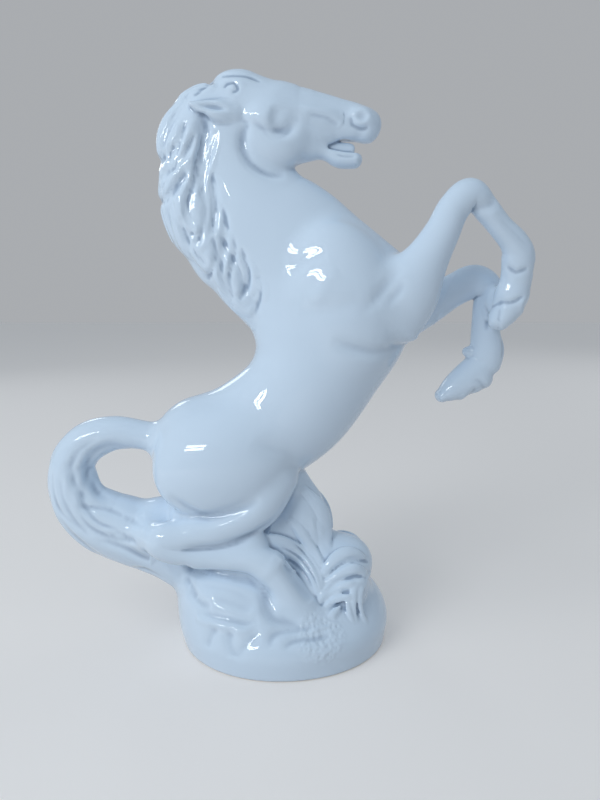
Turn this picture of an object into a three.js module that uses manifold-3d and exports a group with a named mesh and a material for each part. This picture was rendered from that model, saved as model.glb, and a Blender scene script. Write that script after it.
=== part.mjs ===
// Porcelain figurine of a rearing horse on a grassy mound, as the separate slip castings that are luted
// together before the glaze firing. Millimetres. X runs from the tail to the forelegs, Y from the horse's
// right side to its left, and Z is up from the table.
//
// The animal is one skin: rounded sections lofted along the spine of each limb and blended into each
// other. Each casting is the part of that skin between its lute joints, less the hollow of the mould.
import * as THREE from "three";
import Module from "manifold-3d";

// Driving dimensions
const FIGURE_HEIGHT = 278; // foot to forelock
const DRAWN_HEIGHT = 278; // the height that the sections below are drawn for
const LUTE_GAP = 0.4; // slip joint between two castings
const CAST_WALL = 5; // wall that the slip leaves in the mould
const BASE_LENGTH = 104.5;
const BASE_DEPTH = 94;
const BASE_CENTRE_X = 1.5;
const BASE_WAIST = 9; // height at which the base is widest
const BASE_RISE = 17; // from there to the top of its rounded shoulder
const SHOULDER = 2.4; // fullness of that shoulder, 2 being an ellipse
const BASE_DRAFT = 0.1; // how far the foot draws in below the waist, per millimetre
const FOOT_RIM = 9; // width of the ring that the figurine stands on
const FOOT_RECESS = 2.5; // depth of the underside inside that ring
const FLOOR_THICKNESS = 4;
const DRAIN_BORE = 14; // hole that the slip is poured out of
const CAVITY_HEIGHT = 14; // hollow of the base above its floor
const BODY_WIDTH = 50; // barrel of the horse
const LOCK_DEPTH = 1.3; // grooves between the locks of the mane
const LOCK_PITCH = 7.4;
const HAIR_DEPTH = 1.1; // grooves along the tail
const HAIR_STRANDS = 11;
const BLADE_THICKNESS = 2.6; // grass leaves

// Lute joints, as a point and the direction that the cut faces, in the middle plane
const TAIL_LUTE_X = -66.5;
const HIND_LUTE_Z = 73;
const FORELEG_LUTE = { x: 60, z: 174, nx: 0.995, nz: 0.1 };
const WITHERS_LUTE = { x: -13.5, z: 156, nx: -0.51, nz: 0.86 };
const POLL_LUTE = { x: 8.5, z: 231, nx: 0.377, nz: 0.926 };
const FORELEG_PARTING_Y = 3.5; // the right hoof touches the left leg here

// Facets of each casting after thinning
const FACETS = {
  base_mound: 1800,
  grass_clump: 1900,
  torso: 2000,
  neck: 2400,
  head: 2500,
  foreleg: 1150,
  hind_leg: 720,
  tail: 1700,
};
const MESH_CELL = 3; // grid that the skin is traced on, before thinning
const FINE_CELL = 2.2;

const wasm = await Module();
wasm.setup();

// Sections of the lofts: centre x and z, half depth in the plane of the limb, half width, centre y.
const HALF_BODY = BODY_WIDTH / 2;
const TORSO = [
  [-49, 98, 20, HALF_BODY - 8],
  [-37, 100, 26.5, HALF_BODY - 2],
  [-16, 107.5, 28.5, HALF_BODY - 1],
  [3, 120.5, 29.5, HALF_BODY],
  [14.5, 136, 30.5, HALF_BODY + 1],
  [21.5, 153, 33, HALF_BODY],
  [25, 168, 32, HALF_BODY - 3],
  [27, 180, 24, HALF_BODY - 8],
];
const NECK = [
  [20, 173, 36, 21],
  [6, 194.5, 33.5, 18],
  [-12, 214, 28, 15],
  [-22, 233, 23.5, 12.5],
  [-27, 251, 17, 11.5],
  [-25, 260, 12, 10.5],
];
const MANE = [
  [-23, 268, 6.5, 9],
  [-36, 259.5, 11, 11.5],
  [-42.5, 243, 14.5, 12.5],
  [-42, 226, 15.5, 13],
  [-38, 209, 15, 13.5],
  [-30, 195, 12.5, 13.5],
  [-22, 181, 10, 12.5],
  [-13.5, 168, 7, 11],
  [-9, 157, 4, 8],
];
const HEAD = [
  [-19, 262, 13.5, 11],
  [-6.5, 256, 17.2, 12.5],
  [5.5, 253.2, 16.2, 10.5],
  [15.5, 254.2, 13.2, 8.5],
  [24.5, 255.4, 10.6, 7.2],
  [34, 254.8, 8.8, 7.2],
  [39.3, 252.8, 7.4, 6.4],
];
const RIGHT_FORELEG = [
  [50, 172, 21, 11, -12],
  [58.5, 180, 16, 11, -14.5],
  [66.2, 192.3, 10.5, 9, -15.5],
  [72.9, 204.3, 8.2, 7.6, -15.5],
  [78, 215, 7.4, 7, -15],
  [85.3, 221.1, 7.4, 6.8, -14],
  [92.8, 215.6, 6.1, 5.8, -12.5],
  [100.6, 207.6, 5.6, 5.4, -11],
  [108, 200.5, 6.6, 5.8, -9],
  [111.3, 194, 7.8, 6.4, -7],
  [111.6, 184, 7.4, 6.3, -5],
  [110, 175.5, 7.6, 6.8, -4],
];
const RIGHT_HOOF = [
  [110.3, 177, 7.8, 7, -4],
  [107.8, 169, 7, 6.8, -3],
  [104.6, 163.5, 4.4, 5.2, -2],
];
const LEFT_FORELEG = [
  [50, 164, 17, 10, 12],
  [62, 166, 12.5, 10, 14],
  [74, 170.5, 9.4, 8.6, 15],
  [86, 178.2, 8.4, 7.6, 14.5],
  [96.5, 182.6, 8.6, 7.2, 13.5],
  [103.5, 178, 7.8, 6.4, 12.5],
  [103.3, 168, 7.4, 5.8, 12],
  [103, 157, 7.4, 5.8, 12],
  [104, 148.5, 8.8, 6.6, 12],
  [103, 141.5, 8.6, 6.4, 12],
];
const LEFT_HOOF = [
  [100, 137, 9.6, 6.8, 12],
  [93.5, 132.6, 8.4, 7, 12],
  [86.5, 127.8, 6.2, 6.6, 12],
  [82, 124.8, 3.6, 5.4, 12],
];
const HIND_LEG = [
  [-4, 89, 12, 11, -12],
  [-14, 77, 14, 12, -16],
  [-31, 67, 12, 10, -19],
  [-46, 62.5, 9.4, 8, -21],
  [-57.5, 58.5, 8.6, 7.2, -22],
  [-45, 52.5, 6.6, 6.2, -22.5],
  [-29, 51, 6.4, 6, -23],
  [-15, 50.5, 7.4, 6.8, -23.5],
  [-7, 47, 8.8, 7.6, -24],
];
const HIND_HOOF = [
  [-5, 46, 8.4, 7.6, -24],
  [1, 36.5, 8.8, 8.4, -24],
  [6, 27, 10.4, 9.4, -24],
  [8.5, 18, 11.4, 10.4, -24],
];
const TAIL = [
  [-50, 100, 8, 9],
  [-60, 104, 7.6, 8.6],
  [-71, 106.6, 7.3, 8],
  [-85, 107.8, 8.4, 8.8],
  [-97.5, 103.6, 10, 9.8],
  [-106, 94, 11, 10.5],
  [-107, 81.5, 12.8, 11.5],
  [-102.5, 69.5, 15, 12],
  [-92, 60.5, 17, 13],
  [-78, 55, 17.8, 14.5],
  [-62, 48, 17, 15],
  [-48, 36, 13, 15],
];
const LEAVES = [
  [[19, 20, 3, -24], [9, 36, 6.5, -21], [0, 48, 6.5, -18], [-11, 56, 2, -15]],
  [[18, 20, 3, -24], [17, 38, 5, -22], [11, 52, 4.6, -18], [6, 64, 1.4, -14]],
  [[19, 20, 3, -23], [20.5, 42, 4.4, -20], [19, 58, 4.4, -16], [17, 72, 1.4, -12]],
  [[20, 20, 3, -22], [21, 44, 4.6, -17], [20.5, 60, 4, -12], [22, 74, 1.6, -8]],
  [[14, 46, 5, -6], [15, 62, 7, -5], [15.5, 73, 6, -5], [12, 83, 2.5, -4]],
  [[20, 20, 3, -23], [31, 37, 6.5, -19], [39, 44, 6.5, -14], [46, 44, 2.4, -8]],
  [[20, 17, 3, -25], [30, 27, 4, -23], [39, 32, 4, -18], [45, 31, 1.6, -13]],
  [[20, 14, 3, -27], [29, 20, 3.4, -26], [37, 23, 3.2, -22], [42, 20, 1.4, -19]],
  [[42, 38, 2, -12], [45, 28, 3, -14], [44, 18, 3, -19], [39, 11, 1.4, -23]],
];

const bent = (a, b, c, d, t) => {
  const u = t * t;
  const w = u * t;
  return 0.5 * (2 * b + (c - a) * t + (2 * a - 5 * b + 4 * c - d) * u + (3 * b - a - 3 * c + d) * w);
};

// Sections along a smooth curve through the given ones, with count steps between two of them.
const through = (sections, count) => {
  const last = sections.length - 1;
  const at = (i) => sections[Math.min(Math.max(i, 0), last)];
  const out = [];
  for (let i = 0; i < last; i++) {
    for (let j = 0; j < count; j++) {
      const step = [0, 1, 2, 3, 4].map((n) =>
        bent(at(i - 1)[n] ?? 0, at(i)[n] ?? 0, at(i + 1)[n] ?? 0, at(i + 2)[n] ?? 0, j / count)
      );
      out.push(step);
    }
  }
  out.push([...at(last), 0].slice(0, 5));
  return out;
};

const boxDistance = (box, x, y, z) => {
  const dx = Math.max(box[0] - x, 0, x - box[3]);
  const dy = Math.max(box[1] - y, 0, y - box[4]);
  const dz = Math.max(box[2] - z, 0, z - box[5]);
  return Math.sqrt(dx * dx + dy * dy + dz * dz);
};

// Distance to a loft of elliptical sections. It ends round, or flat across its last section.
const loft = (sections, blend, { flat = false, grooves = null } = {}) => {
  const path = through(sections, 3);
  const legs = [];
  const box = [Infinity, Infinity, Infinity, -Infinity, -Infinity, -Infinity];
  path.forEach(([x, z, deep, wide, y]) => {
    const reach = Math.max(deep, wide);
    [x, y, z].forEach((c, n) => {
      box[n] = Math.min(box[n], c - reach);
      box[n + 3] = Math.max(box[n + 3], c + reach);
    });
  });
  for (let i = 0; i + 1 < path.length; i++) {
    const [ax, az, ad, aw, ay] = path[i];
    const [bx, bz, bd, bw, by] = path[i + 1];
    const along = [bx - ax, by - ay, bz - az];
    const length = Math.hypot(...along);
    const t = along.map((c) => c / length);
    const side = Math.hypot(t[0] * t[1], 1 - t[1] * t[1], t[2] * t[1]);
    const s = [(-t[0] * t[1]) / side, (1 - t[1] * t[1]) / side, (-t[2] * t[1]) / side];
    const n = [t[1] * s[2] - t[2] * s[1], t[2] * s[0] - t[0] * s[2], t[0] * s[1] - t[1] * s[0]];
    legs.push({ ax, ay, az, t, s, n, length, ad, aw, dd: bd - ad, dw: bw - aw, i });
  }
  const end = legs[legs.length - 1];
  const distance = (x, y, z) => {
    let best = Infinity;
    let around = 0;
    let station = 0;
    for (const leg of legs) {
      const px = x - leg.ax;
      const py = y - leg.ay;
      const pz = z - leg.az;
      const run = px * leg.t[0] + py * leg.t[1] + pz * leg.t[2];
      const u = Math.min(Math.max(run / leg.length, 0), 1);
      const over = flat && leg === end && u === 1 ? 0 : run - u * leg.length;
      const dn = px * leg.n[0] + py * leg.n[1] + pz * leg.n[2];
      const ds = px * leg.s[0] + py * leg.s[1] + pz * leg.s[2];
      const deep = leg.ad + leg.dd * u;
      const wide = leg.aw + leg.dw * u;
      const cap = Math.min(deep, wide);
      const a = dn / deep;
      const b = ds / wide;
      const c = over / cap;
      const q = Math.sqrt(a * a + b * b + c * c);
      const g = Math.sqrt((a / deep) ** 2 + (b / wide) ** 2 + (c / cap) ** 2);
      const d = g < 1e-9 ? -cap : (q * (q - 1)) / g;
      if (d < best) {
        best = d;
        around = Math.atan2(b, a);
        station = leg.i + u;
      }
    }
    if (grooves) best += grooves(around, station, x, y, z);
    if (flat) {
      const beyond =
        (x - end.ax) * end.t[0] + (y - end.ay) * end.t[1] + (z - end.az) * end.t[2] - end.length;
      best = Math.max(best, beyond);
    }
    return best;
  };
  return { distance, box, blend };
};

// Distance to an ellipsoid that is turned in the middle plane by the given degrees.
const lump = ([x0, z0, long, high, wide, y0 = 0], degrees, blend) => {
  const c = Math.cos(THREE.MathUtils.degToRad(degrees));
  const s = Math.sin(THREE.MathUtils.degToRad(degrees));
  const reach = Math.max(long, high);
  const box = [x0 - reach, y0 - wide, z0 - reach, x0 + reach, y0 + wide, z0 + reach];
  const distance = (x, y, z) => {
    const u = ((x - x0) * c + (z - z0) * s) / long;
    const v = ((z - z0) * c - (x - x0) * s) / high;
    const w = (y - y0) / wide;
    const q = Math.sqrt(u * u + v * v + w * w);
    const g = Math.sqrt((u / long) ** 2 + (v / high) ** 2 + (w / wide) ** 2);
    return g < 1e-9 ? -Math.min(long, high, wide) : (q * (q - 1)) / g;
  };
  return { distance, box, blend };
};

const flipped = (sections) => sections.map(([x, z, deep, wide, y]) => [x, z, deep, wide, -y]);
const onBothSides = (make) => [make(-1), make(1)];
const carved = (shape) => ({ ...shape, carve: true });

// One field out of many shapes: each is blended in, or carved out, over its own radius.
const blended = (shapes) => (x, y, z) => {
  let f = 1e3;
  for (const shape of shapes) {
    const k = shape.blend;
    const away = boxDistance(shape.box, x, y, z);
    if (shape.carve) {
      if (-away < f - k) continue;
      const g = -shape.distance(x, y, z);
      const h = Math.max(k - Math.abs(f - g), 0) / k;
      f = Math.max(f, g) + (h * h * k) / 4;
    } else {
      if (away > f + k) continue;
      const g = shape.distance(x, y, z);
      const h = Math.max(k - Math.abs(f - g), 0) / k;
      f = Math.min(f, g) - (h * h * k) / 4;
    }
  }
  return f;
};

// Wavy locks that run down the mane: ridges across the neck, bent into an S along their length.
const locks = (around, station, x, y, z) => {
  const across = x + 42 + 0.62 * Math.max(0, 214 - z);
  const wave = 2.6 * Math.sin(z / 9.5) + 1.4 * Math.sin(z / 4.3 + 1.3);
  const fade = Math.min(1, Math.abs(Math.sin(around)) + 0.35) * Math.min(1, station / 3);
  return LOCK_DEPTH * fade * Math.cos((2 * Math.PI * (across + wave)) / LOCK_PITCH);
};

// Hair of the tail: strands around the section, which turn slowly on their way down.
const strands = (around, station) => {
  const growth = THREE.MathUtils.smoothstep(station, 9, 20);
  const twist = 0.07 * station + 0.25 * Math.sin(station / 2.6);
  return HAIR_DEPTH * growth * Math.cos(HAIR_STRANDS * (around + twist));
};

const TAIL_SHAPES = [
  loft(TAIL, 5, { grooves: strands }),
  lump([-62, 62, 13, 11.5, 13], -8, 5),
];
const BODY_SHAPES = [
  loft(TORSO, 6),
  loft(NECK, 10),
  lump([45, 181, 20.5, 18, 19], -20, 12),
  ...onBothSides((side) => lump([-28, 98, 36, 25.5, 17, side * 13.5], 18, 5)),
  ...onBothSides((side) => lump([30, 176, 20, 32, 12, side * 16], 18, 10)),
  loft(MANE, 3, { grooves: locks }),
  loft(HEAD, 5),
  ...onBothSides((side) => lump([-3.5, 248, 15.5, 14.6, 8, side * 5], 0, 3)),
  loft([[11, 244, 5.5, 6], [22, 241.8, 3.8, 4.6], [32, 239.8, 4.6, 4.6], [36, 240.4, 3.6, 4]], 3),
  lump([-18, 271.4, 12, 6.2, 8], -8, 4),
  ...onBothSides((side) => lump([-5.5, 255, 4.6, 4.2, 3, side * 10.6], 0, 2)),
  ...onBothSides((side) => lump([-6.5, 259.5, 6, 2.2, 3, side * 10], -8, 2)),
  ...onBothSides((side) => lump([37.5, 256.2, 4, 3.6, 2.8, side * 5.2], 0, 2)),
  ...onBothSides((side) => carved(lump([39, 256.4, 1.8, 1.5, 2, side * 8.2], 0, 1.5))),
  carved(loft([[23, 246, 1, 9], [31, 245.4, 1.7, 9], [43, 243.6, 2, 9]], 1.2)),
  loft([[20, 245.6, 3, 3.2], [33, 244.6, 3, 3]], 1),
  ...onBothSides((side) => {
    const root = [-21, 257, 4.4, 3, side * 9.5];
    const middle = [-29, 257.6, 4.6, 3.2, side * 11.5];
    const tip = [-40, 260, 1.2, 1.4, side * 12.5];
    return loft([root, middle, tip], 1.5);
  }),
  ...onBothSides((side) => carved(lump([-29.5, 257.4, 6.5, 1.9, 1.9, side * 15], -12, 1.2))),
  loft(RIGHT_FORELEG, 6),
  loft(RIGHT_HOOF, 1.5),
  loft(LEFT_FORELEG, 5),
  loft(LEFT_HOOF, 1.5),
  lump([94.5, 147.5, 3, 2.6, 3, 12], 0, 2),
  lump([105, 172, 5, 8.5, 6, 5], 6, 3),
  loft(HIND_LEG, 3),
  loft(flipped(HIND_LEG), 3),
  loft(HIND_HOOF, 1.5, { flat: true }),
  loft(flipped(HIND_HOOF), 1.5, { flat: true }),
];
const horse = blended([...BODY_SHAPES, ...TAIL_SHAPES]);
const hindquarters = blended(BODY_SHAPES);
const trunk = blended([...BODY_SHAPES, loft(TAIL.slice(0, 5), 5)]);

// Base: an oval bun with a rounded shoulder, drawn in towards its foot.
const bun = {
  blend: 8,
  box: [-BASE_LENGTH, -BASE_DEPTH, -BASE_RISE, BASE_LENGTH, BASE_DEPTH, BASE_RISE * 3],
  distance: (x, y, z) => {
    const lift = z - BASE_WAIST;
    const inset = lift < 0 ? -lift * BASE_DRAFT : 0;
    const halfLength = BASE_LENGTH / 2 - inset;
    const halfDepth = BASE_DEPTH / 2 - inset;
    const a = Math.abs((x - BASE_CENTRE_X) / halfLength);
    const b = Math.abs(y / halfDepth);
    const plan = Math.max(Math.sqrt(a * a + b * b), 1e-6);
    const c = lift > 0 ? lift / BASE_RISE : 0;
    const q = Math.pow(Math.pow(plan, SHOULDER) + Math.pow(c, SHOULDER), 1 / SHOULDER);
    const steepness = Math.sqrt((a / halfLength) ** 2 + (b / halfDepth) ** 2) / plan;
    const outwards = Math.pow(plan / q, SHOULDER - 1) * steepness;
    const upwards = Math.pow(c / q, SHOULDER - 1) / BASE_RISE;
    return (q - 1) / Math.sqrt(outwards * outwards + upwards * upwards);
  },
};
const MOUND_SHAPES = [
  bun,
  lump([-24, 25, 31, 26, 35], -8, 12),
  lump([-9, 9, 40, 30, 41], 0, 12),
  lump([-20, 52, 28, 14, 16], -10, 8),
  lump([24, 20, 25, 15, 29, 3], -8, 12),
  ...TAIL_SHAPES,
];
const mound = blended(MOUND_SHAPES);
const CLUMP_SHAPES = [
  lump([23, 34, 21, 21, 22], -20, 6),
  lump([8, 62, 12, 24, 15], 14, 8),
  lump([-8, 57, 15, 14, 16], 0, 8),
  lump([34, 39, 13, 12.5, 15, -3], -14, 5),
  ...LEAVES.map((leaf) => loft(leaf.map(([x, z, deep, y]) => [x, z, deep, BLADE_THICKNESS, y]), 1.2)),
  lump([6, 84, 6, 9, 10], 10, 5),
];
const clump = blended(CLUMP_SHAPES);

// A closed surface where the field is zero inside the box, traced over a grid of tetrahedra.
const traced = (field, box, cell) => {
  const [x0, y0, z0, x1, y1, z1] = box;
  const nx = Math.ceil((x1 - x0) / cell) + 1;
  const ny = Math.ceil((y1 - y0) / cell) + 1;
  const nz = Math.ceil((z1 - z0) / cell) + 1;
  const inBox = (x, y, z) =>
    Math.max(x0 + cell - x, x - x1 + cell, y0 + cell - y, y - y1 + cell, z0 + cell - z, z - z1 + cell);
  const value = (x, y, z) => Math.max(field(x, y, z), inBox(x, y, z));
  const grid = new Float64Array(nx * ny * nz);
  const id = (i, j, k) => (k * ny + j) * nx + i;
  for (let k = 0; k < nz; k++) {
    for (let j = 0; j < ny; j++) {
      for (let i = 0; i < nx; i++) {
        const rim = i === 0 || j === 0 || k === 0 || i === nx - 1 || j === ny - 1 || k === nz - 1;
        const v = value(x0 + i * cell, y0 + j * cell, z0 + k * cell);
        grid[id(i, j, k)] = rim ? Math.max(v, cell / 2) : Math.abs(v) < 1e-6 ? 1e-6 : v;
      }
    }
  }
  const points = [];
  const faces = [];
  const known = new Map();
  const place = (n) => [
    x0 + (n % nx) * cell,
    y0 + (Math.floor(n / nx) % ny) * cell,
    z0 + Math.floor(n / (nx * ny)) * cell,
  ];
  const crossing = (a, b) => {
    const low = Math.min(a, b);
    const high = Math.max(a, b);
    const key = low * 8e6 + high;
    if (known.has(key)) return known.get(key);
    const t = Math.min(Math.max(grid[low] / (grid[low] - grid[high]), 0.04), 0.96);
    const p = place(low).map((c, n) => c + (place(high)[n] - c) * t);
    known.set(key, points.length / 3);
    points.push(...settled(value, p, cell));
    return points.length / 3 - 1;
  };
  const corner = [0, 1, nx, nx + 1, nx * ny, nx * ny + 1, nx * ny + nx, nx * ny + nx + 1];
  const tetrahedra = [[0, 1, 3, 7], [0, 3, 2, 7], [0, 2, 6, 7], [0, 6, 4, 7], [0, 4, 5, 7], [0, 5, 1, 7]];
  for (let k = 0; k + 1 < nz; k++) {
    for (let j = 0; j + 1 < ny; j++) {
      for (let i = 0; i + 1 < nx; i++) {
        const n = id(i, j, k);
        for (const tetra of tetrahedra) {
          const c = tetra.map((m) => n + corner[m]);
          const inside = c.filter((m) => grid[m] < 0);
          const outside = c.filter((m) => grid[m] >= 0);
          if (!inside.length || !outside.length) continue;
          const order = [...inside, ...outside];
          const odd = parity(order.map((m) => c.indexOf(m)));
          const add = (p, q, r) => faces.push(odd ? [p, r, q] : [p, q, r]);
          if (inside.length === 1) {
            add(...outside.map((m) => crossing(inside[0], m)));
          } else if (inside.length === 3) {
            add(...inside.map((m) => crossing(m, outside[0])));
          } else {
            const [a, b] = inside;
            const [u, v] = outside;
            const square = [crossing(a, u), crossing(a, v), crossing(b, v), crossing(b, u)];
            add(square[0], square[1], square[2]);
            add(square[0], square[2], square[3]);
          }
        }
      }
    }
  }
  return { points, faces };
};

const parity = (order) => {
  let swaps = 0;
  order.forEach((a, i) => order.slice(i + 1).forEach((b) => (swaps += a > b ? 1 : 0)));
  return swaps % 2 === 1;
};

// The point moved onto the surface along the slope of the field, by less than a third of a cell.
const settled = (field, point, cell) => {
  const [x, y, z] = point;
  const e = 0.05;
  const f = field(x, y, z);
  const g = [
    (field(x + e, y, z) - f) / e,
    (field(x, y + e, z) - f) / e,
    (field(x, y, z + e) - f) / e,
  ];
  const steep = g[0] ** 2 + g[1] ** 2 + g[2] ** 2;
  if (steep < 0.05) return point;
  const move = Math.min(Math.max(f / steep, -cell / 3), cell / 3);
  return point.map((c, n) => c - g[n] * move);
};

// Sum of squared distances to the planes of the faces around a point, as ten numbers.
const planeError = (a, b, c) => {
  const u = [b[0] - a[0], b[1] - a[1], b[2] - a[2]];
  const v = [c[0] - a[0], c[1] - a[1], c[2] - a[2]];
  const n = [u[1] * v[2] - u[2] * v[1], u[2] * v[0] - u[0] * v[2], u[0] * v[1] - u[1] * v[0]];
  const area = Math.hypot(...n) || 1e-12;
  const [x, y, z] = n.map((m) => m / area);
  const d = -(x * a[0] + y * a[1] + z * a[2]);
  return [x * x, x * y, x * z, x * d, y * y, y * z, y * d, z * z, z * d, d * d].map((m) => m * area);
};

const errorAt = (q, [x, y, z]) =>
  q[0] * x * x + q[4] * y * y + q[7] * z * z + q[9] +
  2 * (q[1] * x * y + q[2] * x * z + q[5] * y * z + q[3] * x + q[6] * y + q[8] * z);

const determinant = ([a, b, c], [d, e, f], [g, h, i]) =>
  a * (e * i - f * h) - d * (b * i - c * h) + g * (b * f - c * e);

// Where the error is least, or the middle of the edge where that place isn't well fixed.
const bestPlace = (q, a, b) => {
  const columns = [[q[0], q[1], q[2]], [q[1], q[4], q[5]], [q[2], q[5], q[7]]];
  const slope = [q[3], q[6], q[8]];
  const det = determinant(...columns);
  const middle = a.map((c, n) => (c + b[n]) / 2);
  if (Math.abs(det) > 1e-5) {
    const p = [0, 1, 2].map((n) => -determinant(...columns.map((column, m) => (m === n ? slope : column))) / det);
    const reach = Math.hypot(...a.map((c, n) => c - b[n]));
    if (Math.hypot(...p.map((c, n) => c - middle[n])) < reach) return p;
  }
  return middle;
};

// The same surface with about the given number of faces: the edges that matter least go first.
const thinned = ({ points, faces }, wanted) => {
  const at = [];
  for (let i = 0; i < points.length; i += 3) at.push(points.slice(i, i + 3));
  const around = at.map(() => new Set());
  const errors = at.map(() => new Array(10).fill(0));
  faces.forEach((face, f) => {
    const e = planeError(...face.map((v) => at[v]));
    face.forEach((v) => {
      around[v].add(f);
      for (let n = 0; n < 10; n++) errors[v][n] += e[n];
    });
  });
  const stamp = new Uint32Array(at.length);
  const heap = [];
  const lift = (i) => {
    let n = i;
    while (n > 0 && heap[(n - 1) >> 1].cost > heap[n].cost) {
      const up = (n - 1) >> 1;
      [heap[up], heap[n]] = [heap[n], heap[up]];
      n = up;
    }
  };
  const pop = () => {
    const top = heap[0];
    const tail = heap.pop();
    if (heap.length) {
      heap[0] = tail;
      let n = 0;
      for (;;) {
        const l = 2 * n + 1;
        let low = n;
        if (l < heap.length && heap[l].cost < heap[low].cost) low = l;
        if (l + 1 < heap.length && heap[l + 1].cost < heap[low].cost) low = l + 1;
        if (low === n) break;
        [heap[low], heap[n]] = [heap[n], heap[low]];
        n = low;
      }
    }
    return top;
  };
  const offer = (a, b) => {
    const q = errors[a].map((m, n) => m + errors[b][n]);
    const p = bestPlace(q, at[a], at[b]);
    const length = (at[a][0] - at[b][0]) ** 2 + (at[a][1] - at[b][1]) ** 2 + (at[a][2] - at[b][2]) ** 2;
    heap.push({ cost: Math.max(errorAt(q, p), 0) + 6e-3 * length, a, b, p, when: stamp[a] + stamp[b] });
    lift(heap.length - 1);
  };
  const offerAll = () =>
    faces.forEach((face) => {
      if (!face) return;
      for (let n = 0; n < 3; n++) if (face[n] < face[(n + 1) % 3]) offer(face[n], face[(n + 1) % 3]);
    });
  const ring = (v) => {
    const out = new Set();
    around[v].forEach((f) => faces[f].forEach((w) => out.add(w)));
    out.delete(v);
    return out;
  };
  const normal = (p, q, r) => {
    const u = [q[0] - p[0], q[1] - p[1], q[2] - p[2]];
    const v = [r[0] - p[0], r[1] - p[1], r[2] - p[2]];
    return [u[1] * v[2] - u[2] * v[1], u[2] * v[0] - u[0] * v[2], u[0] * v[1] - u[1] * v[0]];
  };
  const fairness = (p, q, r, cross) => {
    const apart = (a, b) => Math.hypot(a[0] - b[0], a[1] - b[1], a[2] - b[2]);
    const edges = [apart(p, q), apart(q, r), apart(r, p)];
    return Math.hypot(...cross) / Math.max(...edges) ** 2;
  };
  const holds = (v, other, p) => {
    for (const f of around[v]) {
      const face = faces[f];
      if (face.includes(other)) continue;
      const was = face.map((w) => at[w]);
      const is = face.map((w) => (w === v ? p : at[w]));
      const old = normal(...was);
      const now = normal(...is);
      const before = fairness(...was, old);
      const after = fairness(...is, now);
      if (after < 0.1 && after < 0.9 * before) return false;
      const size = Math.hypot(...old) * Math.hypot(...now);
      const turn = old[0] * now[0] + old[1] * now[1] + old[2] * now[2];
      if (before > 0.02 && turn < 0.3 * size) return false;
    }
    return true;
  };
  const collapse = ({ a, b, p, when }) => {
    if (!around[a].size || !around[b].size || when !== stamp[a] + stamp[b]) return 0;
    const near = ring(b);
    if (!near.has(a)) return 0;
    const shared = [...ring(a)].filter((v) => near.has(v));
    if (shared.length !== 2 || !holds(a, b, p) || !holds(b, a, p)) return 0;
    at[a] = p;
    for (let n = 0; n < 10; n++) errors[a][n] += errors[b][n];
    around[b].forEach((f) => {
      if (faces[f].includes(a)) {
        faces[f].forEach((v) => around[v].delete(f));
        faces[f] = null;
      } else {
        faces[f] = faces[f].map((v) => (v === b ? a : v));
        around[a].add(f);
      }
    });
    around[b].clear();
    stamp[a] += 1;
    ring(a).forEach((v) => offer(a, v));
    return 2;
  };
  let left = faces.length;
  let before = Infinity;
  while (left > wanted && left < before) {
    before = left;
    offerAll();
    while (left > wanted && heap.length) left -= collapse(pop());
    heap.length = 0;
  }
  const used = new Map();
  const kept = faces.filter((face) => face);
  const renumber = (v) => {
    if (!used.has(v)) used.set(v, used.size);
    return used.get(v);
  };
  const packed = kept.map((face) => face.map(renumber));
  const spots = new Array(used.size);
  used.forEach((to, from) => (spots[to] = at[from]));
  return { points: spots.flat(), faces: packed };
};

// Volume inside the faces, below zero where they face inwards.
const enclosed = ({ points, faces }) => {
  const at = (v) => new THREE.Vector3(points[3 * v], points[3 * v + 1], points[3 * v + 2]);
  return faces.reduce((sum, [a, b, c]) => sum + at(a).dot(at(b).cross(at(c))) / 6, 0);
};

const solid = (surface) => {
  const { points, faces } = surface;
  const out = enclosed(surface) > 0 ? faces : faces.map(([a, b, c]) => [a, c, b]);
  return new wasm.Manifold(
    new wasm.Mesh({
      numProp: 3,
      vertProperties: new Float32Array(points),
      triVerts: new Uint32Array(out.flat()),
    })
  );
};

// A closed body through rings of points, each with as many points as the next.
const ringed = (rings) => {
  const n = rings[0].length;
  const faces = [];
  for (let r = 0; r + 1 < rings.length; r++) {
    for (let i = 0; i < n; i++) {
      const a = r * n + i;
      const b = r * n + ((i + 1) % n);
      faces.push([a, b, b + n], [a, b + n, a + n]);
    }
  }
  const top = (rings.length - 1) * n;
  for (let i = 1; i + 1 < n; i++) faces.push([0, i + 1, i], [top, top + i, top + i + 1]);
  return solid({ points: rings.flat(2), faces });
};

const oval = (x, z, halfLong, halfDeep, count) =>
  Array.from({ length: count }, (_, i) => {
    const angle = (2 * Math.PI * i) / count;
    return [x + halfLong * Math.cos(angle), halfDeep * Math.sin(angle), z];
  });

// Everything on the far side of a joint, half a slip gap away from it.
const beyond = ({ x, z, nx, nz }, side) => {
  const size = Math.hypot(nx, nz);
  const n = [(side * nx) / size, (side * nz) / size];
  const t = [-n[1], n[0]];
  const wide = 400;
  const corner = (along, out, y) => [
    x + t[0] * along + n[0] * out,
    y,
    z + t[1] * along + n[1] * out,
  ];
  const ring = (out) => [
    corner(-wide, out, -wide),
    corner(wide, out, -wide),
    corner(wide, out, wide),
    corner(-wide, out, wide),
  ];
  return ringed([ring(-LUTE_GAP / 2), ring(wide)]);
};
const besides = (y, side) => {
  const start = y - (side * LUTE_GAP) / 2;
  const stop = y + side * 400;
  const ring = (at) => [[-400, at, -400], [-400, at, 400], [400, at, 400], [400, at, -400]];
  return side > 0 ? ringed([ring(start), ring(stop)]) : ringed([ring(stop), ring(start)]);
};

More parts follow.
